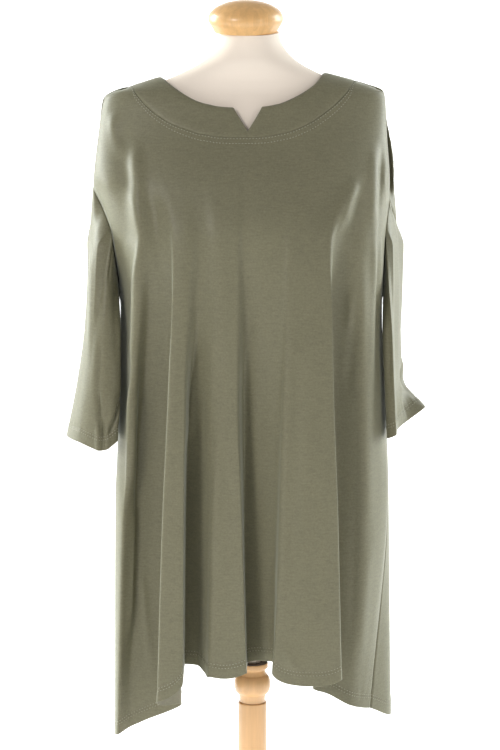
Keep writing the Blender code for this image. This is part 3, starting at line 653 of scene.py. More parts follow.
def sleeve_points(front_armhole, back_armhole, lines):
    """Rings of points down a sleeve, the first one round the armhole, and each column's place round it."""
    armhole = np.concatenate([front_armhole, back_armhole[-2:0:-1]])
    shares = armhole_shares()
    around = np.concatenate([shares, 2 - shares[-2:0:-1]])
    places = np.array([line.around for line in lines])
    wrapped = np.concatenate([places[-2:] - 2, places, places[:2] + 2])

    def ring_values(name):
        values = np.array([getattr(line, name) for line in lines]) * MM
        return smooth(around, wrapped, np.concatenate([values[-2:], values, values[:2]]))

    rings = {name: ring_values(name) for name in SleeveLine._fields[1:]}
    columns = []
    for c, top in enumerate(armhole):
        cuff_z = rings["cuff_z"][c]
        levels = (("cap", CAP_Z), ("upper", UPPER_Z), ("elbow", ELBOW_Z), ("cuff", cuff_z))
        stops = [(z, rings["x_" + level][c], rings["y_" + level][c]) for level, z in levels
                 if z < top[2] - LEVEL_CLEARANCE]
        heights = [top[2]] + [stop[0] for stop in stops]
        z = np.concatenate([[top[2]], hem_heights(top[2], cuff_z, SLEEVE_ROWS)])
        x = smooth(z, heights, [top[0]] + [stop[1] for stop in stops])
        y = smooth(z, heights, [top[1]] + [stop[2] for stop in stops])
        columns.append(np.stack([x, y, z], axis=1))
    return np.stack(columns, axis=1), around


def unit(vectors):
    """The same vectors at length 1."""
    length = np.linalg.norm(vectors, axis=-1, keepdims=True)
    return vectors / np.maximum(length, 1e-9)


def outward_normals(grid, closed, turn):
    """Normals of a grid of points; turn is 1 or -1, for which way the outside lies."""
    down = np.gradient(grid, axis=0)
    if closed:
        across = np.roll(grid, -1, axis=1) - np.roll(grid, 1, axis=1)
    else:
        across = np.gradient(grid, axis=1)
    return unit(np.cross(down, across)) * turn


def crease_shape(x, z, x_top, z_top, x_low, z_low, bend, width):
    """How much a crease acts at each place, 1 on its line and fading out to its sides and ends."""
    length = math.hypot(x_low - x_top, z_low - z_top)
    along = ((x - x_top) * (x_low - x_top) + (z - z_top) * (z_low - z_top)) / length ** 2
    side = ((x - x_top) * (z_low - z_top) - (z - z_top) * (x_low - x_top)) / length
    side = side - bend * np.sin(math.pi * np.clip(along, 0, 1))
    fade = ease(along / CREASE_FADE) * ease((1 - along) / CREASE_FADE)
    return np.exp(-(side / width) ** 2) * fade


def crease_panel(grid, normals, creases):
    """Presses the creases into a body panel."""
    depth = np.zeros(grid.shape[:2])
    for crease in creases:
        shape = crease_shape(grid[..., 0] / MM, grid[..., 2] / MM, crease.x_top, crease.z_top,
                             crease.x_low, crease.z_low, crease.bend, crease.width)
        depth += crease.depth * MM * shape
    grid += normals * depth[..., None]


def crease_sleeve(grid, normals, around, creases):
    """Presses the creases into a sleeve."""
    reach = np.linalg.norm(np.diff(grid, axis=1, append=grid[:, :1]), axis=2).sum(axis=1).mean() / 2
    depth = np.zeros(grid.shape[:2])
    for crease in creases:
        for lap in (-2, 0, 2):
            shape = crease_shape((around + lap)[None, :] * reach / MM, grid[..., 2] / MM,
                                 crease.around_top * reach / MM, crease.z_top / MM,
                                 crease.around_low * reach / MM, crease.z_low / MM, 0, crease.width)
            depth += crease.depth * MM * shape
    grid += normals * depth[..., None]


def hem_ripple(grid, normals):
    """Puckers the cloth along its hem stitches and presses them in."""
    gap = np.linalg.norm(np.diff(grid, axis=0), axis=2)
    to_edge = np.concatenate([np.cumsum(gap[::-1], axis=0)[::-1], np.zeros((1, grid.shape[1]))])
    along = np.cumsum(np.linalg.norm(np.diff(grid[-1], axis=0, prepend=grid[-1][:1]), axis=1))
    off = (to_edge - tunic().hem_depth) / GROOVE_WIDTH
    pucker = sum(np.sin(along * row.wave + row.shift) * row.share for row in PUCKERS)
    groove = -GROOVE_DEPTH * np.exp(-off ** 2)
    ripple = PUCKER_DEPTH * np.exp(-(off / PUCKER_SPREAD) ** 2) * pucker[None, :]
    lift = HEM_LIFT * ease((tunic().hem_depth - to_edge) / HEM_LIFT_FADE)
    grid += normals * (groove + ripple + lift)[..., None]


def seam_edge(grid, normals, side):
    """Sinks the cloth a little where it meets a seam at its first or last column."""
    columns = range(3) if side == 0 else range(-1, -4, -1)
    for share, column in zip(SIDE_SEAM_SHARES, columns):
        grid[:, column] -= normals[:, column] * tunic().seam_dip * share


def share_normals(one, other):
    """Gives two panels the same normals along the edge that they share, except where they face each other."""
    together = np.sum(one * other, axis=-1, keepdims=True) > 0
    mean = unit(one + other)
    one[...] = np.where(together, mean, one)
    other[...] = np.where(together, mean, other)


def path_at(grid, normals, distance, from_hem):
    """Points and normals on each column at a distance down the cloth from its top, or up from its hem."""
    if from_hem:
        grid, normals = grid[::-1], normals[::-1]
    gap = np.linalg.norm(np.diff(grid, axis=0), axis=2)
    run = np.concatenate([np.zeros((1, grid.shape[1])), np.cumsum(gap, axis=0)])
    points, outward = [], []
    for c in range(grid.shape[1]):
        points.append([np.interp(distance, run[:, c], grid[:, c, axis]) for axis in range(3)])
        outward.append([np.interp(distance, run[:, c], normals[:, c, axis]) for axis in range(3)])
    return np.array(points), unit(np.array(outward))


# Mesh pieces

def finish_piece(name, bm, finish, node):
    """Makes a shaded piece of a bmesh, rides it on the body and lets it stand for its node."""
    mesh = bpy.data.meshes.new(name)
    bm.to_mesh(mesh)
    bm.free()
    mesh.shade_smooth()
    mesh.materials.append(finish)
    piece = bpy.data.objects.new(name, mesh)
    bpy.context.scene.collection.objects.link(piece)
    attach(piece, "root")
    if node:
        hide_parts(node)
    return piece


def surface(grid, closed, flip):
    """A bmesh sheet laid through a grid of points, with a map of it in metres of cloth."""
    rows, columns = grid.shape[:2]
    spans = columns if closed else columns - 1
    bm = bmesh.new()
    bmesh.ops.create_grid(bm, x_segments=spans, y_segments=rows - 1, size=1.0)
    across = np.linalg.norm(np.diff(grid, axis=1, append=grid[:, :1]), axis=2)
    run = np.concatenate([[0.0], np.cumsum(across.mean(axis=0))])
    down = np.concatenate([np.zeros((1, columns)),
                           np.cumsum(np.linalg.norm(np.diff(grid, axis=0), axis=2), axis=0)])
    cloth_map = bm.loops.layers.uv.new("cloth")
    place = {}
    for vert in bm.verts:
        column = round((vert.co.x + 1) / 2 * spans)
        row = round((1 - vert.co.y) / 2 * (rows - 1))
        place[vert] = (run[column], -down[row, column % columns])
        vert.co = grid[row, column % columns]
    for face in bm.faces:
        for loop in face.loops:
            loop[cloth_map].uv = place[loop.vert]
    if flip:
        bmesh.ops.reverse_faces(bm, faces=bm.faces)
    if closed:
        bmesh.ops.remove_doubles(bm, verts=bm.verts, dist=MERGE_DISTANCE)
    return bm


def cloth_piece(panel, grid, thickness, closed, flip, finish):
    """A sheet of cloth with its thickness laid inwards, which stands for the panel's node."""
    piece = finish_piece("tunic_" + panel, surface(grid, closed, flip), finish, panel)
    wall = piece.modifiers.new("thickness", "SOLIDIFY")
    wall.thickness = thickness
    wall.offset = -1
    wall.use_rim = True
    return piece


def stitch_row(bm, points, normals, closed):
    """Lays stitches end to end along a line on the cloth."""
    if closed:
        points = np.concatenate([points, points[:1]])
        normals = np.concatenate([normals, normals[:1]])
    run = np.concatenate([[0.0], np.cumsum(np.linalg.norm(np.diff(points, axis=0), axis=1))])
    pitch = tunic().stitch_length
    count = int(run[-1] / pitch)
    for k in range(count):
        at = (k + 0.5) * run[-1] / count
        half = STITCH_SHARE * pitch
        start = Vector([np.interp(at - half, run, points[:, axis]) for axis in range(3)])
        end = Vector([np.interp(at + half, run, points[:, axis]) for axis in range(3)])
        up = Vector([np.interp(at, run, normals[:, axis]) for axis in range(3)]).normalized()
        along = (end - start).normalized()
        side = up.cross(along).normalized()
        up = along.cross(side)
        middle = (start + end) / 2 + up * STITCH_RISE
        turn = Matrix((along, side, up)).transposed().to_4x4()
        size = Matrix.Diagonal((half, tunic().thread / 2, tunic().thread / 2, 1))
        place = Matrix.Translation(middle) @ turn @ size
        bmesh.ops.create_icosphere(bm, subdivisions=1, radius=1, matrix=place)


def stitches(name, rows, finish):
    """A piece of several stitch rows, each (points, normals, closed)."""
    whole = bmesh.new()
    for points, normals, closed in rows:
        part = bmesh.new()
        stitch_row(part, points, normals, closed)
        mesh = bpy.data.meshes.new(name)
        part.to_mesh(mesh)
        part.free()
        whole.from_mesh(mesh)
        bpy.data.meshes.remove(mesh)
    return finish_piece(name, whole, finish, None)


def turned(name, profile, finish, node, place=None):
    """A turned solid; the profile runs from the axis at the top to the axis at the bottom."""
    bm = bmesh.new()
    chain = [bm.verts.new((radius, 0, z)) for radius, z in profile]
    edges = [bm.edges.new(pair) for pair in zip(chain, chain[1:])]
    bmesh.ops.spin(bm, geom=chain + edges, axis=(0, 0, 1), cent=(0, 0, 0), angle=2 * math.pi,
                   steps=TURNED_STEPS, use_merge=True)
    bmesh.ops.remove_doubles(bm, verts=bm.verts, dist=MERGE_DISTANCE)
    bmesh.ops.recalc_face_normals(bm, faces=bm.faces)
    if place is not None:
        bmesh.ops.transform(bm, matrix=place, verts=bm.verts)
    piece = finish_piece(name, bm, finish, node)
    piece.data.set_sharp_from_angle(angle=TURNED_SHARP)
    return piece


def arc(centre_radius, centre_z, radius, start, end, steps):
    """Profile points on an arc; angles in degrees from straight out, upwards."""
    angles = [math.radians(start + (end - start) * i / steps) for i in range(steps + 1)]
    return [(centre_radius + radius * math.cos(a), centre_z + radius * math.sin(a)) for a in angles]


# Materials

def effect_group(name, colour, amounts):
    """An empty shader group that gives colour, roughness and height, with its input and output sockets."""
    made = bpy.data.node_groups.new(name, "ShaderNodeTree")
    new_socket = made.interface.new_socket
    new_socket(name="Colour", in_out="INPUT", socket_type="NodeSocketColor").default_value = (*colour, 1)
    for socket, value in amounts.items():
        new_socket(name=socket, in_out="INPUT", socket_type="NodeSocketFloat").default_value = value
    new_socket(name="Colour", in_out="OUTPUT", socket_type="NodeSocketColor")
    for socket in ("Roughness", "Height"):
        new_socket(name=socket, in_out="OUTPUT", socket_type="NodeSocketFloat")
    return made, made.nodes.new("NodeGroupInput").outputs, made.nodes.new("NodeGroupOutput").inputs


def add_node(tree, kind, **settings):
    """A node with some of its settings and input values."""
    made = tree.nodes.new(kind)
    for key, value in settings.items():
        if key in made.bl_rna.properties:
            setattr(made, key, value)
        else:
            made.inputs[key.replace("_", " ")].default_value = value
    return made


def sum_node(tree, operation, one, other):
    """A maths node; each side is a socket or a number."""
    made = tree.nodes.new("ShaderNodeMath")
    made.operation = operation
    for side, value in zip(made.inputs, (one, other)):
        if isinstance(value, bpy.types.NodeSocket):
            tree.links.new(value, side)
        else:
            side.default_value = value
    return made.outputs[0]


def scaled(tree, value, factor):
    """A value times a factor."""
    return sum_node(tree, "MULTIPLY", value, factor)


def noise(tree, place, **settings):
    """A noise's value at a place."""
    made = add_node(tree, "ShaderNodeTexNoise", **settings)
    tree.links.new(place, made.inputs["Vector"])
    return made.outputs[0]


def swing(tree, value, depth):
    """A noise's swing round its middle, from -depth / 2 to depth / 2."""
    return scaled(tree, sum_node(tree, "SUBTRACT", value, 0.5), depth)


def tint_colour(tree, given, change, out):
    """Sends the given colour, made lighter or darker by a change, to the group's output."""
    tint = add_node(tree, "ShaderNodeVectorMath", operation="SCALE")
    tree.links.new(given["Colour"], tint.inputs[0])
    tree.links.new(sum_node(tree, "ADD", change, 1.0), tint.inputs["Scale"])
    tree.links.new(tint.outputs[0], out["Colour"])


def knit_loops(tree, wales):
    """The swell of the knitted loops, along the ribs and the courses of the cloth."""
    cloth_map = add_node(tree, "ShaderNodeUVMap", uv_map="cloth")
    parts = tree.nodes.new("ShaderNodeSeparateXYZ")
    tree.links.new(cloth_map.outputs[0], parts.inputs[0])
    full_turn = 2 * math.pi
    wale = scaled(tree, scaled(tree, parts.outputs[0], wales), full_turn)
    course = scaled(tree, scaled(tree, parts.outputs[1], wales), 1.25 * full_turn)
    loops = scaled(tree, sum_node(tree, "SINE", wale, 0.0), 0.5)
    return sum_node(tree, "ADD", loops, scaled(tree, sum_node(tree, "SINE", course, 0.0), 0.25))


def knit_group():
    """Fine single jersey: ribs of loops down the cloth, heathered yarn and slow changes of tone."""
    made, given, out = effect_group("jersey_knit", tunic().cloth_colour,
                                    {"Wales per metre": WALES, "Heather": HEATHER})
    loops = knit_loops(made, given["Wales per metre"])
    place = add_node(made, "ShaderNodeTexCoord").outputs["Object"]
    stretch = add_node(made, "ShaderNodeMapping", Scale=(90.0, 90.0, 460.0))
    made.links.new(place, stretch.inputs["Vector"])
    yarn = noise(made, place, Scale=380.0, Detail=3.0, Roughness=0.65)
    slub = noise(made, stretch.outputs[0], Scale=1.0, Detail=2.0, Roughness=0.6)
    tone = noise(made, place, Scale=9.0, Detail=3.0, Roughness=0.55)
    mottle = sum_node(made, "ADD", scaled(made, yarn, 0.6), scaled(made, slub, 0.4))
    mottle = swing(made, mottle, given["Heather"])
    mottle = sum_node(made, "ADD", mottle, scaled(made, loops, 0.06))
    mottle = sum_node(made, "ADD", mottle, swing(made, tone, 0.16))
    tint_colour(made, given, mottle, out)
    made.links.new(sum_node(made, "ADD", scaled(made, mottle, -0.25), 0.88), out["Roughness"])
    made.links.new(sum_node(made, "ADD", loops, yarn), out["Height"])
    return made


def wood_group():
    """Turned wood: long grain up the piece, pores and slow bands."""
    made, given, out = effect_group("turned_wood", stand().wood_colour, {"Grain": 0.35, "Across": 90.0})
    place = add_node(made, "ShaderNodeTexCoord").outputs["Object"]
    scale = made.nodes.new("ShaderNodeCombineXYZ")
    for side in scale.inputs[:2]:
        made.links.new(given["Across"], side)
    scale.inputs[2].default_value = 6.0
    stretched = add_node(made, "ShaderNodeVectorMath", operation="MULTIPLY")
    made.links.new(place, stretched.inputs[0])
    made.links.new(scale.outputs[0], stretched.inputs[1])
    grain = noise(made, stretched.outputs[0], Scale=1.0, Detail=4.0, Roughness=0.6, Distortion=0.6)
    pores = noise(made, stretched.outputs[0], Scale=7.0, Detail=2.0, Roughness=0.5)
    bands = noise(made, place, Scale=14.0, Detail=2.0)
    change = sum_node(made, "ADD", swing(made, grain, 1.0), swing(made, pores, 0.35))
    change = sum_node(made, "ADD", change, swing(made, bands, 0.3))
    tint_colour(made, given, scaled(made, change, given["Grain"]), out)
    made.links.new(sum_node(made, "ADD", scaled(made, pores, 0.25), 0.28), out["Roughness"])
    made.links.new(sum_node(made, "ADD", grain, pores), out["Height"])
    return made


def blank_material(name):
    """A material and its shader, tree and bump node."""
    made = bpy.data.materials.new(name)
    made.use_nodes = True
    tree = made.node_tree
    shader = tree.nodes["Principled BSDF"]
    bump = tree.nodes.new("ShaderNodeBump")
    tree.links.new(bump.outputs[0], shader.inputs["Normal"])
    return made, tree, shader, bump


def grouped_material(name, effect, values, strength, distance):
    """A material whose colour, roughness and bump come from one effect group."""
    made, tree, shader, bump = blank_material(name)
    used = add_node(tree, "ShaderNodeGroup")
    used.node_tree = effect
    for key, value in values.items():
        used.inputs[key].default_value = value
    tree.links.new(used.outputs["Colour"], shader.inputs["Base Color"])
    tree.links.new(used.outputs["Roughness"], shader.inputs["Roughness"])
    tree.links.new(used.outputs["Height"], bump.inputs["Height"])
    bump.inputs["Strength"].default_value = strength
    bump.inputs["Distance"].default_value = distance
    return made, tree, shader


def jersey(name):
    """Olive jersey with a soft lustre, and a nap that catches light from behind."""
    effect = bpy.data.node_groups.get("jersey_knit") or knit_group()
    values = {"Colour": (*tunic().cloth_colour, 1)}
    made, _, shader = grouped_material(name, effect, values, 0.35, 0.0002)
    finish = (
        ("Specular IOR Level", 0.25),
        ("Coat Weight", 0.65),
        ("Coat Roughness", 0.42),
        ("Coat IOR", 1.4),
        ("Coat Tint", (1.0, 0.99, 0.95, 1)),
        ("Sheen Weight", 0.25),
        ("Sheen Roughness", 0.45),
        ("Sheen Tint", (0.90, 0.96, 0.88, 1)),
        ("Subsurface Weight", 0.25),
        ("Subsurface Radius", (1.0, 0.95, 0.75)),
        ("Subsurface Scale", 0.0012),
    )
    for socket, value in finish:
        shader.inputs[socket].default_value = value
    return made


def wood(name, colour, grain, across):
    """Varnished turned wood."""
    effect = bpy.data.node_groups.get("turned_wood") or wood_group()
    values = {"Colour": (*colour, 1), "Grain": grain, "Across": across}
    made, tree, shader = grouped_material(name, effect, values, 0.2, 0.0004)
    shader.inputs["Coat Roughness"].default_value = 0.18
    shader.inputs["Coat Weight"].default_value = 0.35
    return made, tree, shader


def thread_material():
    """Matt sewing thread with a twist."""
    found = bpy.data.materials.get("olive_thread")
    if found:
        return found
    made, tree, shader, bump = blank_material("olive_thread")
    place = add_node(tree, "ShaderNodeTexCoord").outputs["Object"]
    twist = noise(tree, place, Scale=1600.0, Detail=1.0)
    ramp = add_node(tree, "ShaderNodeValToRGB")
    colour = tunic().thread_colour
    for stop, at, gain in zip(ramp.color_ramp.elements, (0.3, 0.7), (0.75, 1.3)):
        stop.position = at
        stop.color = (*[gain * c for c in colour], 1)
    tree.links.new(twist, ramp.inputs[0])
    tree.links.new(ramp.outputs[0], shader.inputs["Base Color"])
    tree.links.new(twist, bump.inputs["Height"])
    bump.inputs["Strength"].default_value = 0.3
    bump.inputs["Distance"].default_value = 0.0001
    shader.inputs["Roughness"].default_value = 0.7
    return made


# The tunic

SURFACES = {}


def body_points():
    """Grids and outward normals of the front and the back, which meet smoothly at their seams."""
    front = panel_points(FRONT, FRONT_CORNERS, False)
    back = panel_points(BACK, BACK_CORNERS, True)
    front_normals = outward_normals(front, False, 1)
    back_normals = outward_normals(back, False, -1)
    first, last = corner_columns(FRONT_CORNERS)
    back_last = corner_columns(BACK_CORNERS)[1]
    share_normals(front_normals[0, :first + 1], back_normals[0, :first + 1])
    share_normals(front_normals[0, last:], back_normals[0, back_last:])
    for side in (0, -1):
        share_normals(front_normals[ARMHOLE_ROWS:, side], back_normals[ARMHOLE_ROWS:, side])
    return (front, front_normals), (back, back_normals)


def sleeve_surface(front, back, side, lines, creases, turn):
    """Grid and outward normals of a sleeve, which meets the body smoothly round its armhole."""
    armhole = slice(0, ARMHOLE_ROWS + 1)
    grid, around = sleeve_points(front[0][armhole, side], back[0][armhole, side], lines)
    normals = outward_normals(grid, True, turn)
    share_normals(front[1][armhole, side], normals[0, armhole])
    share_normals(back[1][ARMHOLE_ROWS - 1:0:-1, side], normals[0, ARMHOLE_ROWS + 1:])
    crease_sleeve(grid, normals, around, creases)
    hem_ripple(grid, normals)
    grid[:2] -= normals[:2] * tunic().seam_dip * np.array(ARMHOLE_SEAM_SHARES)[:, None, None]
    return grid, outward_normals(grid, True, turn)


def panel_surface(grid, normals, creases, hem_turns, turn):
    """Grid and outward normals of a body panel with its creases, its hem and its sunken side seams."""
    crease_panel(grid, normals, creases)
    round_hem(grid, hem_turns)
    hem_ripple(grid, normals)
    for side in (0, -1):
        seam_edge(grid, normals, side)
    return grid, outward_normals(grid, False, turn)


def work_out_surfaces():
    """Fills SURFACES with the grid of each piece of the tunic and its outward normals."""
    front, back = body_points()
    grid = band_points(front[0], FRONT_CORNERS, NECK_FRONT, False)
    SURFACES["neckband_front"] = (grid, outward_normals(grid, False, 1))
    grid = band_points(back[0], BACK_CORNERS, NECK_BACK, True)
    SURFACES["neckband_back"] = (grid, outward_normals(grid, False, -1))
    SURFACES["sleeve_right"] = sleeve_surface(front, back, 0, SLEEVE_RIGHT, RIGHT_SLEEVE_CREASES, 1)
    SURFACES["sleeve_left"] = sleeve_surface(front, back, -1, SLEEVE_LEFT, LEFT_SLEEVE_CREASES, -1)
    SURFACES["front"] = panel_surface(*front, FRONT_CREASES, FRONT_HEM_TURNS, 1)
    SURFACES["back"] = panel_surface(*back, BACK_CREASES, (), -1)


def surfaces():
    """The tunic's surfaces, worked out once."""
    if not SURFACES:
        work_out_surfaces()
    return SURFACES


class TUNIC_OT_body(bpy.types.Operator):
    """Makes the tunic's front and back"""
    bl_idname = "tunic.body"
    bl_label = "Front and back"

    def execute(self, context):
        cloth = jersey("jersey_body")
        for name, flip in (("front", False), ("back", True)):
            piece = cloth_piece(name, surfaces()[name][0], tunic().body_cloth, False, flip, cloth)
        return {"FINISHED"}


class TUNIC_OT_sleeves(bpy.types.Operator):
    """Makes both sleeves"""
    bl_idname = "tunic.sleeves"
    bl_label = "Sleeves"

    def execute(self, context):
        cloth = jersey("jersey_sleeves")
        for name, flip in (("sleeve_right", False), ("sleeve_left", True)):
            piece = cloth_piece(name, surfaces()[name][0], tunic().body_cloth, True, flip, cloth)
        return {"FINISHED"}


class TUNIC_OT_neckband(bpy.types.Operator):
    """Makes the doubled neckband with its notch"""
    bl_idname = "tunic.neckband"
    bl_label = "Neckband"

    def execute(self, context):
        cloth = jersey("jersey_band")
        rounding = np.array([1.1, 0.35, 0.1])[:, None, None] * MM
        for name, flip in (("neckband_front", False), ("neckband_back", True)):
            grid, normals = surfaces()[name]
            grid = grid + normals * tunic().band_proud
            if name == "neckband_front":
                off = (grid[..., :1] - NOTCH_CENTRE) / NOTCH_SEAM_WIDTH
                grid -= normals * NOTCH_SEAM_DEPTH * np.exp(-off ** 2)
            grid[:3] -= normals[:3] * rounding
            grid[-3:] -= normals[-3:] * rounding[::-1]
            piece = cloth_piece(name, grid, tunic().band_cloth, False, flip, cloth)
        return {"FINISHED"}


class TUNIC_OT_stitching(bpy.types.Operator):
    """Sews the twin rows of the hems and cuffs, and the two rows under the neckband"""
    bl_idname = "tunic.stitching"
    bl_label = "Stitching"

    def execute(self, context):
        thread = thread_material()
        depth, gap = tunic().hem_depth, tunic().row_gap
        band_rows = (tunic().band_row_top, tunic().band_row_low)
        for name, corners in (("front", FRONT_CORNERS), ("back", BACK_CORNERS)):
            grid, normals = surfaces()[name]
            rows = [(*path_at(grid, normals, up, True), False) for up in (depth, depth - gap)]
            stitches("hem_stitches_" + name, rows, thread)
            first, last = corner_columns(corners)
            part = grid[:ARMHOLE_ROWS, first:last + 1], normals[:ARMHOLE_ROWS, first:last + 1]
            rows = [(*path_at(*part, down, False), False) for down in band_rows]
            stitches("band_stitches_" + name, rows, thread)
        for name in ("sleeve_right", "sleeve_left"):
            grid, normals = surfaces()[name]
            rows = [(*path_at(grid, normals, up, True), True) for up in (depth, depth - gap)]
            stitches("cuff_stitches_" + name, rows, thread)
        return {"FINISHED"}


# The form and its stand

def form_grid():
    """Rings of points down the padded torso, with its seams and the gathers at its hub."""
    heights = np.array([row.z for row in TORSO]) * MM
    z = np.linspace(NECK_TOP_Z, HUB_Z, FORM_ROWS + 1)[:, None]
    half = smooth(z, heights, [row.half_width * MM for row in TORSO])
    front = smooth(z, heights, [row.front * MM for row in TORSO])
    back = smooth(z, heights, [row.back * MM for row in TORSO])
    angle = (2 * math.pi * np.arange(FORM_SIDES) / FORM_SIDES)[None, :]
    side, depth = np.cos(angle), np.sin(angle)
    spread = np.abs(side) ** SHOULDER_ROUNDNESS + np.abs(depth) ** SHOULDER_ROUNDNESS
    reach = spread ** (-1 / SHOULDER_ROUNDNESS)
    centre = NECK_CENTRE_X * (z - HUB_Z) / (NECK_TOP_Z - HUB_Z)
    slope = math.tan(PLATE_TILT) * np.clip((z - TILT_START_Z) / (NECK_TOP_Z - TILT_START_Z), 0, None)
    y = np.where(depth > 0, back, front) * depth * reach
    gathered = ease((GATHER_TOP_Z - z) / GATHER_START) * form().gather_depth
    weaker = SECOND_GATHERS * np.sin(angle * (form().gathers - FEWER_GATHERS) + 0.8)
    pull = gathered * (np.sin(angle * form().gathers) + weaker)
    pull = pull * np.clip(half / GATHER_FULL_RADIUS, 0.25, 1)
    for seam in (0, math.pi, math.pi / 2):
        off = np.abs((angle - seam + math.pi) % (2 * math.pi) - math.pi) * half
        pull = pull - form().seam_dip * np.exp(-(off / COVER_SEAM_WIDTH) ** 2) * (z < COVER_SEAM_TOP_Z)
    x = centre + (half + pull) * side * reach
    y = y * (1 + pull / np.maximum(half, 0.02))
    return np.stack([x, y, z + slope * y], axis=2)


def cover_group():
    """Stretched cream cover: fine knit, faint cloudiness."""
    made, given, out = effect_group("stretched_cover", form().cover_colour, {"Cloudiness": 0.10})
    place = add_node(made, "ShaderNodeTexCoord").outputs["Object"]
    cloud = noise(made, place, Scale=11.0, Detail=3.0)
    weave = noise(made, place, Scale=900.0, Detail=2.0, Roughness=0.7)
    change = sum_node(made, "ADD", swing(made, cloud, 1.0), swing(made, weave, 0.6))
    tint_colour(made, given, scaled(made, change, given["Cloudiness"]), out)
    made.links.new(sum_node(made, "ADD", scaled(made, weave, 0.15), 0.72), out["Roughness"])
    made.links.new(weave, out["Height"])
    return made


class FORM_OT_torso(bpy.types.Operator):
    """Makes the padded torso in its stretched cover"""
    bl_idname = "form.torso"
    bl_label = "Padded torso"

    def execute(self, context):
        bm = surface(form_grid(), True, False)
        ends = [edge for edge in bm.edges if edge.is_boundary]
        bmesh.ops.holes_fill(bm, edges=ends, sides=0)
        bmesh.ops.recalc_face_normals(bm, faces=bm.faces)
        effect = bpy.data.node_groups.get("stretched_cover") or cover_group()
        values = {"Colour": (*form().cover_colour, 1)}
        cover, _, shader = grouped_material("cream_cover", effect, values, 0.25, 0.0002)
        shader.inputs["Sheen Weight"].default_value = 0.2
        piece = finish_piece("form_cover", bm, cover, "form_torso")
        piece.data.set_sharp_from_angle(angle=COVER_SHARP)
        return {"FINISHED"}


class STAND_OT_cap(bpy.types.Operator):
    """Turns the domed cap on the neck"""
    bl_idname = "stand.cap"
    bl_label = "Neck cap"

    def execute(self, context):
        radius, height, brow = stand().cap_radius, stand().cap_height, 0.019
        dome = [(radius * math.cos(math.radians(a)), brow + (height - brow) * math.sin(math.radians(a)))
                for a in range(86, -1, -4)]
        under = [(radius - 0.0006, brow - 0.003), (radius - 0.002, 0.013), (radius - 0.0045, 0.009),
                 (radius - 0.007, 0.005), (radius - 0.0095, 0.0), (0, 0)]
        place = Matrix.Translation((-0.010, 0, NECK_TOP_Z + REST_GAP)) @ Matrix.Rotation(PLATE_TILT, 4, "X")
        finish = wood("cap_wood", stand().cap_colour, 0.55, 110.0)[0]
        turned("cap_turned", [(0, height)] + dome + under, finish, "neck_cap", place)
        return {"FINISHED"}


class STAND_OT_collar(bpy.types.Operator):
    """Turns the collar and the ball below the form"""
    bl_idname = "stand.collar"
    bl_label = "Collar and ball"

    def execute(self, context):
        top, radius, ball_z = COLLAR_TOP_Z, 0.024, 0.4985
        ring = [(0, top), (radius - 0.002, top)] + arc(radius - 0.002, top - 0.002, 0.002, 90, 0, 4)[1:]
        ring += arc(radius - 0.002, top - 0.007, 0.002, 0, -90, 4)
        ball = [(0.0198 + 0.008 * math.cos(math.radians(a)), ball_z + 0.0155 * math.sin(math.radians(a)))
                for a in range(78, -79, -6)]
        foot_z = POST_TOP_Z + REST_GAP
        foot = [(0.0195, ball_z - 0.0200), (0.0195, foot_z), (0, foot_z)]
        # The collar's flat top carries painted shade from the torso that sits over it
        finish = wood_with_painted_shade_top()
        turned("collar_turned", ring + [(0.0195, top - 0.0115), (0.0195, top - 0.013)] + ball + foot, finish,
               "stand_collar")
        return {"FINISHED"}


def wood_with_painted_shade_top():
    """The collar's wood, with painted shade on its flat top, which lies right under the torso."""
    made, tree, shader = wood("collar_wood_painted_shade", stand().wood_colour, 0.35, 90.0)
    place = add_node(tree, "ShaderNodeTexCoord")
    parts = tree.nodes.new("ShaderNodeSeparateXYZ")
    tree.links.new(place.outputs["Object"], parts.inputs[0])
    # Painted shade: the flat top under the torso is picked out by height
    painted_shade_mask = sum_node(tree, "GREATER_THAN", parts.outputs[2], COLLAR_TOP_Z - 0.0005)
    mix = tree.nodes.new("ShaderNodeMix")
    mix.data_type = "RGBA"
    pale = shader.inputs["Base Color"].links[0].from_socket
    tree.links.new(painted_shade_mask, mix.inputs["Factor"])
    tree.links.new(pale, mix.inputs[6])
    # Near-black colour of the painted shade under the torso
    mix.inputs[7].default_value = (0.045, 0.020, 0.010, 1)
    tree.links.new(mix.outputs[2], shader.inputs["Base Color"])
    return made


class STAND_OT_post(bpy.types.Operator):
    """Turns the straight post"""
    bl_idname = "stand.post"
    bl_label = "Post"

    def execute(self, context):
        radius = stand().post_radius
        top, bottom = POST_TOP_Z, stand().base_height + REST_GAP
        shoulder = arc(radius - 0.002, top - 0.002, 0.002, 90, 0, 5)
        profile = [(0, top)] + shoulder + [(radius, 0.30), (radius, 0.15), (radius, bottom), (0, bottom)]
        finish = wood("post_wood", stand().wood_colour, 0.30, 80.0)[0]
        turned("post_turned", profile, finish, "stand_post")
        return {"FINISHED"}


class STAND_OT_base(bpy.types.Operator):
    """Turns the round base"""
    bl_idname = "stand.base"
    bl_label = "Base"

    def execute(self, context):
        radius, height = stand().base_radius, stand().base_height
        crown = [(0, height), (0.030, height), (0.032, height), (0.034, height - 0.003),
                 (0.036, height - 0.0035), (0.110, height - 0.006)]
        edge = arc(radius - 0.008, height - 0.016, 0.008, 75, 0, 8)
        foot = arc(radius - 0.003, 0.003, 0.003, 0, -90, 5)
        finish = wood("base_wood", stand().wood_colour, 0.40, 40.0)[0]
        turned("base_turned", crown + edge + foot + [(0, 0)], finish, "stand_base")
        return {"FINISHED"}


# The studio

def studio_light(name, place, size, power, colour):
    """A large soft light that faces the object's middle."""
    data = bpy.data.lights.new(name, "AREA")
    data.shape = "RECTANGLE"
    data.size, data.size_y = size
    data.energy = power
    data.color = colour
    made = bpy.data.objects.new(name, data)
    made.location = place
    made.rotation_euler = (Vector(LIGHT_AIM) - Vector(place)).to_track_quat("-Z", "Y").to_euler()
    bpy.context.scene.collection.objects.link(made)
    made.visible_camera = False


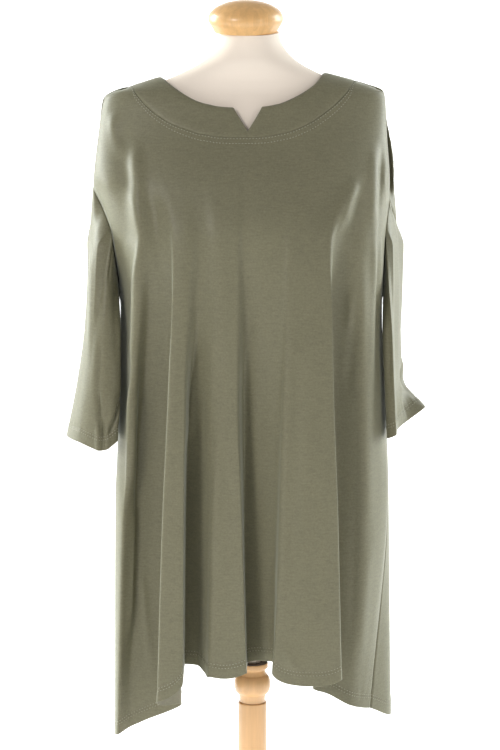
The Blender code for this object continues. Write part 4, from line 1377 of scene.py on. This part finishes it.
def paper_material():
    """White paper that glows a little."""
    paper, tree, shader, bump = blank_material("white_paper")
    place = add_node(tree, "ShaderNodeTexCoord").outputs["Object"]
    fibre = noise(tree, place, Scale=40.0, Detail=3.0)
    tree.links.new(fibre, bump.inputs["Height"])
    bump.inputs["Strength"].default_value = 0.05
    shader.inputs["Base Color"].default_value = (0.92, 0.92, 0.92, 1)
    shader.inputs["Roughness"].default_value = 0.9
    shader.inputs["Emission Color"].default_value = (1, 1, 1, 1)
    shader.inputs["Emission Strength"].default_value = studio().glow
    return paper


def paper_sweep():
    """The paper under and behind the object."""
    bm = bmesh.new()
    bmesh.ops.create_grid(bm, x_segments=8, y_segments=48, size=1.0)
    quarter = SWEEP_RADIUS * math.pi / 2
    for vert in bm.verts:
        run = SWEEP_FRONT + SWEEP_LENGTH * (vert.co.y + 1) / 2
        angle = max(0.0, min(run - SWEEP_FLAT_END, quarter)) / SWEEP_RADIUS
        rise = max(0.0, run - SWEEP_FLAT_END - quarter)
        flat = min(run, SWEEP_FLAT_END)
        vert.co = (vert.co.x * SWEEP_HALF_WIDTH, flat + SWEEP_RADIUS * math.sin(angle),
                   SWEEP_RADIUS * (1 - math.cos(angle)) + rise)
    mesh = bpy.data.meshes.new("sweep")
    bm.to_mesh(mesh)
    bm.free()
    mesh.shade_smooth()
    mesh.materials.append(paper_material())
    sweep = bpy.data.objects.new("sweep", mesh)
    bpy.context.scene.collection.objects.link(sweep)


def studio_lights():
    """The even white surround, a light on each side in front and one on each side behind."""
    world = bpy.data.worlds.new("white_surround")
    bpy.context.scene.world = world
    world.use_nodes = True
    background = world.node_tree.nodes["Background"]
    background.inputs["Color"].default_value = (1, 1, 1, 1)
    background.inputs["Strength"].default_value = studio().sky
    warm, cool = (1, 0.98, 0.95), (0.95, 1, 0.97)
    rim = studio().rim_power
    studio_light("key", (-3.0, -4.2, 3.2), (1.3, 1.6), studio().key_power, warm)
    studio_light("fill", (3.6, -3.8, 2.4), (1.5, 2.0), studio().fill_power, warm)
    studio_light("rim_right", (-3.1, 1.5, 2.3), (1.6, 2.6), rim, cool)
    studio_light("rim_left", (3.1, 1.5, 2.3), (1.6, 2.6), 0.7 * rim, cool)


def studio_camera():
    """The camera at the photo's place."""
    scene = bpy.context.scene
    data = bpy.data.cameras.new("camera")
    data.lens = studio().lens
    data.sensor_width = SENSOR_WIDTH
    data.clip_end = 100
    camera = bpy.data.objects.new("camera", data)
    camera.location = (CAMERA_X, -studio().camera_distance, studio().camera_height)
    camera.rotation_euler = (math.pi / 2 - studio().camera_tilt, 0, 0)
    scene.collection.objects.link(camera)
    scene.camera = camera
    scene.view_settings.view_transform = "Standard"


class STUDIO_OT_stage(bpy.types.Operator):
    """Makes the pale sweep, the lights and the camera"""
    bl_idname = "studio.stage"
    bl_label = "Studio"

    def execute(self, context):
        paper_sweep()
        studio_lights()
        studio_camera()
        return {"FINISHED"}


# The add-on

class TUNIC_PT_panel(bpy.types.Panel):
    """Lists the tunic's pieces and their sizes"""
    bl_idname = "TUNIC_PT_panel"
    bl_label = "Tunic"
    bl_space_type = "VIEW_3D"
    bl_region_type = "UI"
    bl_category = "Tunic"

    def draw(self, context):
        scene = context.scene
        groups = ((scene.tunic_settings, TUNIC_STEPS), (scene.form_settings, FORM_STEPS),
                  (scene.stand_settings, STAND_STEPS), (scene.studio_settings, STUDIO_STEPS))
        for settings, steps in groups:
            box = self.layout.box()
            for name in settings.bl_rna.properties.keys():
                if name not in ("rna_type", "name"):
                    box.prop(settings, name)
            for step in steps:
                box.operator(step.bl_idname)


TUNIC_STEPS = (TUNIC_OT_body, TUNIC_OT_sleeves, TUNIC_OT_neckband, TUNIC_OT_stitching)
FORM_STEPS = (FORM_OT_torso,)
STAND_STEPS = (STAND_OT_cap, STAND_OT_collar, STAND_OT_post, STAND_OT_base)
STUDIO_STEPS = (STUDIO_OT_stage,)
SETTINGS = (TunicSettings, FormSettings, StandSettings, StudioSettings)
CLASSES = SETTINGS + TUNIC_STEPS + FORM_STEPS + STAND_STEPS + STUDIO_STEPS + (TUNIC_PT_panel,)


def register():
    for made in CLASSES:
        bpy.utils.register_class(made)
    bpy.types.Scene.tunic_settings = PointerProperty(type=TunicSettings)
    bpy.types.Scene.form_settings = PointerProperty(type=FormSettings)
    bpy.types.Scene.stand_settings = PointerProperty(type=StandSettings)
    bpy.types.Scene.studio_settings = PointerProperty(type=StudioSettings)


def unregister():
    del bpy.types.Scene.studio_settings
    del bpy.types.Scene.stand_settings
    del bpy.types.Scene.form_settings
    del bpy.types.Scene.tunic_settings
    for made in reversed(CLASSES):
        bpy.utils.unregister_class(made)


def main():
    register()
    bpy.ops.tunic.body()
    bpy.ops.tunic.sleeves()
    bpy.ops.tunic.neckband()
    bpy.ops.tunic.stitching()
    bpy.ops.form.torso()
    bpy.ops.stand.cap()
    bpy.ops.stand.collar()
    bpy.ops.stand.post()
    bpy.ops.stand.base()
    bpy.ops.studio.stage()


if __name__ == "__main__":
    main()
